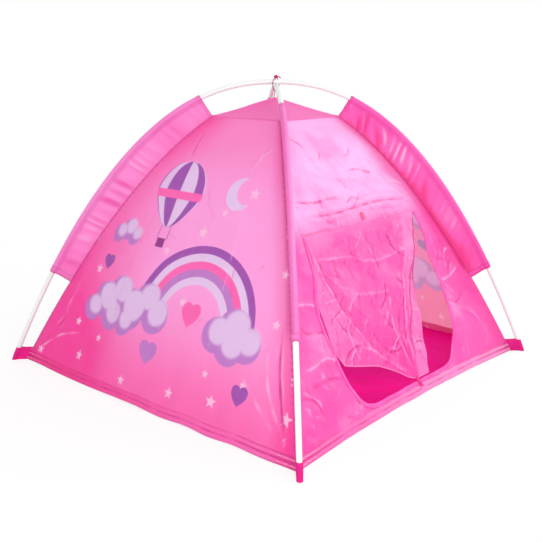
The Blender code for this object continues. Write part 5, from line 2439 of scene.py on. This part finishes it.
@dataclass
class CrossingTie:
    """The cord that hangs the roof's apex from the crossing, and the knot on top of it."""

    frame: Frame
    cap: RoofCap
    finishes: Finishes
    radius: float = 0.0012
    clearance: float = 0.0034
    pinch: float = 0.0024
    foot_spread: float = 0.009
    knot_width: float = 0.015
    knot_depth: float = 0.0084
    knot_height: float = 0.013
    knot_cord: float = 0.0021
    knot_gap: float = 0.0003
    knot_points: int = 150
    tail_length: float = 0.016
    tail_drop: float = 0.003
    tail_radii: Pair = (0.0016, 0.0010)
    tail_points: int = 40
    foot_gap: float = 0.0002
    loop_points: int = 60
    leg_points: int = 16
    cord_points: int = 200
    cord_sides: int = 12

    def build(self) -> None:
        """Make the cord and the knot."""
        half_width = self.frame.radius * math.sqrt(2) + self.radius + self.clearance
        half_height = self.frame.crossing_offset + self.frame.radius + self.radius + self.clearance
        start = math.asin(self.pinch / half_width)
        angle = np.linspace(start, TURN - start, self.loop_points)
        height = self.frame.rise - half_height * np.cos(angle)
        loop = np.stack([half_width * np.sin(angle), 0 * angle, height], -1)
        share = self.foot_spread / float(self.cap.canopy.half_width(self.cap.canopy.seam_height))
        foot = float(self.cap.height(np.array(share))) + self.radius + self.foot_gap
        first = np.linspace([self.foot_spread, 0, foot], loop[0], self.leg_points)
        last = np.linspace([-self.foot_spread, 0, foot], loop[-1], self.leg_points)
        path = np.concatenate([first[:-1], loop, last[::-1][1:]])
        line = smooth_line(resampled(path, self.loop_points), self.cord_points)
        surface = rod(line, self.radius, self.cord_sides, (0, 1, 0))
        surface.put("crossing_cord", self.finishes.cord, Slot.DEEP, "crossing_tie")
        self._knot()

    def _knot(self) -> None:
        """A trefoil knot over the crossing, with a tail that narrows."""
        top = self.frame.rise + self.frame.crossing_offset + self.frame.radius
        centre = top + self.knot_gap + self.knot_height / 2
        turn = np.linspace(0, TURN, self.knot_points, endpoint=False)
        swing = (2 + np.cos(3 * turn)) / 3
        half_width, half_height = self.knot_width / 2, self.knot_height / 2
        across = swing * np.cos(2 * turn) * (half_width - self.knot_cord)
        up = swing * np.sin(2 * turn) * (half_height - self.knot_cord) + centre
        knot = np.stack([across, np.sin(3 * turn) * self.knot_depth * 0.3, up], -1)
        grid = swept(knot, ring(self.cord_sides, self.knot_cord), (0.15, 1, 0.1), True)
        body = Surface.grid(grid, close_rows=True, close_columns=True)
        tail = (
            (0.0, 0.0, centre),
            (half_width, 0.0005, centre + 0.0012),
            (half_width + self.tail_length * 0.55, 0.001, centre),
            (half_width + self.tail_length, 0.0, centre - self.tail_drop),
        )
        share = np.linspace(0, 1, self.tail_points)
        taper = np.interp(share, [0, 0.85, 1], [self.knot_cord, *self.tail_radii])
        tail_rod = rod(smooth_line(tail, self.tail_points), taper, self.cord_sides, (0, 1, 0))
        Surface.join([body, tail_rod]).put("cord_knot", self.finishes.cord, Slot.DEEP, "tie_knot")


@dataclass
class Studio:
    """Camera, plain white floor and backdrop, and soft light."""

    eye: tuple[float, float, float] = (-1.952, -1.680, 0.951)
    target: tuple[float, float, float] = (-0.006, 0.007, 0.288)
    lens: float = 53.92
    roll: float = math.radians(0.426)
    ambient: float = 0.90
    lamp_target: tuple[float, float, float] = (0.0, 0.0, 0.35)
    floor_reach: float = 30.0
    floor_drop: float = 0.0004

    def build(self) -> None:
        """Make the studio."""
        self._camera()
        self._world()
        self._floor()
        self._lamp("key", (2.9, -1.7, 1.9), 40.0, 1.2)
        self._lamp("fill", (-2.2, -2.5, 1.5), 38.0, 1.8)

    def _looking(self, place: Sequence[float], target: Sequence[float]) -> Matrix:
        """The frame of something that stands at a place and looks at a target."""
        spot = Vector(place)
        look = (Vector(target) - spot).to_track_quat("-Z", "Y")
        return Matrix.Translation(spot) @ look.to_matrix().to_4x4()

    def _camera(self) -> None:
        """The camera at the photograph's place."""
        camera = bpy.data.cameras.new("camera")
        camera.lens = self.lens
        camera.sensor_width = 36.0
        camera.clip_start = 0.05
        holder = in_scene("camera", camera)
        holder.matrix_world = self._looking(self.eye, self.target) @ Matrix.Rotation(self.roll, 4, "Z")
        bpy.context.scene.camera = holder

    def _world(self) -> None:
        """White where the camera, gloss and glass see it, and softer as a light."""
        world = bpy.data.worlds.new("studio")
        world.use_nodes = True
        bpy.context.scene.world = world
        tree = world.node_tree
        background = tree.nodes["Background"]
        background.inputs["Color"].default_value = (1.0, 1.0, 1.0, 1.0)
        path = tree.nodes.new("ShaderNodeLightPath")
        seen = path.outputs["Is Camera Ray"]
        for name in ("Is Glossy Ray", "Is Transmission Ray"):
            either = tree.nodes.new("ShaderNodeMath")
            either.operation = "MAXIMUM"
            tree.links.new(seen, either.inputs[0])
            tree.links.new(path.outputs[name], either.inputs[1])
            seen = either.outputs[0]
        strength = tree.nodes.new("ShaderNodeMapRange")
        strength.inputs["To Min"].default_value = self.ambient
        strength.inputs["To Max"].default_value = 1.0
        tree.links.new(seen, strength.inputs["Value"])
        tree.links.new(strength.outputs[0], background.inputs["Strength"])

    def _floor(self) -> None:
        """A wide floor that reads as white and keeps a soft shadow."""
        mesh = bpy.data.meshes.new("studio_floor")
        signs = ((-1, -1), (1, -1), (1, 1), (-1, 1))
        corners = [(x * self.floor_reach, y * self.floor_reach, -self.floor_drop) for x, y in signs]
        mesh.from_pydata(corners, [], [(0, 1, 2, 3)])
        floor = in_scene("studio_floor", mesh)
        graph = Graph("studio_white")
        camera = graph.node("ShaderNodeLightPath", output="Is Camera Ray")
        glow = graph.node("ShaderNodeEmission", {"Color": (1.0, 1.0, 1.0), "Strength": 1.0})
        matte = graph.node("ShaderNodeBsdfDiffuse", {"Color": (0.98, 0.98, 0.98)})
        away = graph.vector("LENGTH", graph.object_place(), output="Value")
        share = camera * (away.ramp(0.7, 2.2) * 0.25 + 0.75)
        mesh.materials.append(graph.surface(graph.blend(share, matte, glow)))

    def _lamp(self, name: str, place: tuple[float, float, float], power: float, size: float) -> None:
        """A square lamp that looks at the tent's middle."""
        light = bpy.data.lights.new(name, "AREA")
        light.energy = power
        light.size = size
        in_scene(name, light).matrix_world = self._looking(place, self.lamp_target)


def main() -> None:
    """Build the studio and every piece in order."""
    logging.basicConfig(level=logging.INFO, format="%(name)s: %(message)s")
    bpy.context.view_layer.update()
    bpy.context.scene.view_settings.view_transform = "Standard"
    Studio().build()
    finishes = Finishes()
    tent_frame = Frame()
    canopy = Canopy(tent_frame)
    poles = Poles(tent_frame, finishes)
    poles.build()
    cap = RoofCap(canopy, finishes)
    CrossingTie(tent_frame, cap, finishes).build()
    cap.build()
    walls = Walls(canopy, finishes)
    walls.build()
    Sleeves(canopy, finishes).build()
    CornerPockets(canopy, finishes, poles).build()
    Groundsheet(walls, finishes).build()
    Tab(
        walls, "closure_strap", Body.CLOSURE, Slot.DEEP, finishes.closure, finishes.deep_thread,
        centre=0.030, top_height=0.055, width=0.014, length=0.036, lift=0.0031, slant=0.45,
    ).build()
    Tab(
        walls, "roll_up_strap", Body.ROLL_UP, Slot.BAND, finishes.tab, finishes.deep_thread,
        centre=0.0, top_height=0.5254, width=0.017, length=0.024, lift=0.0006, slant=0.0,
    ).build()
    DoorFlap(walls, finishes).build()


if __name__ == "__main__":
    main()
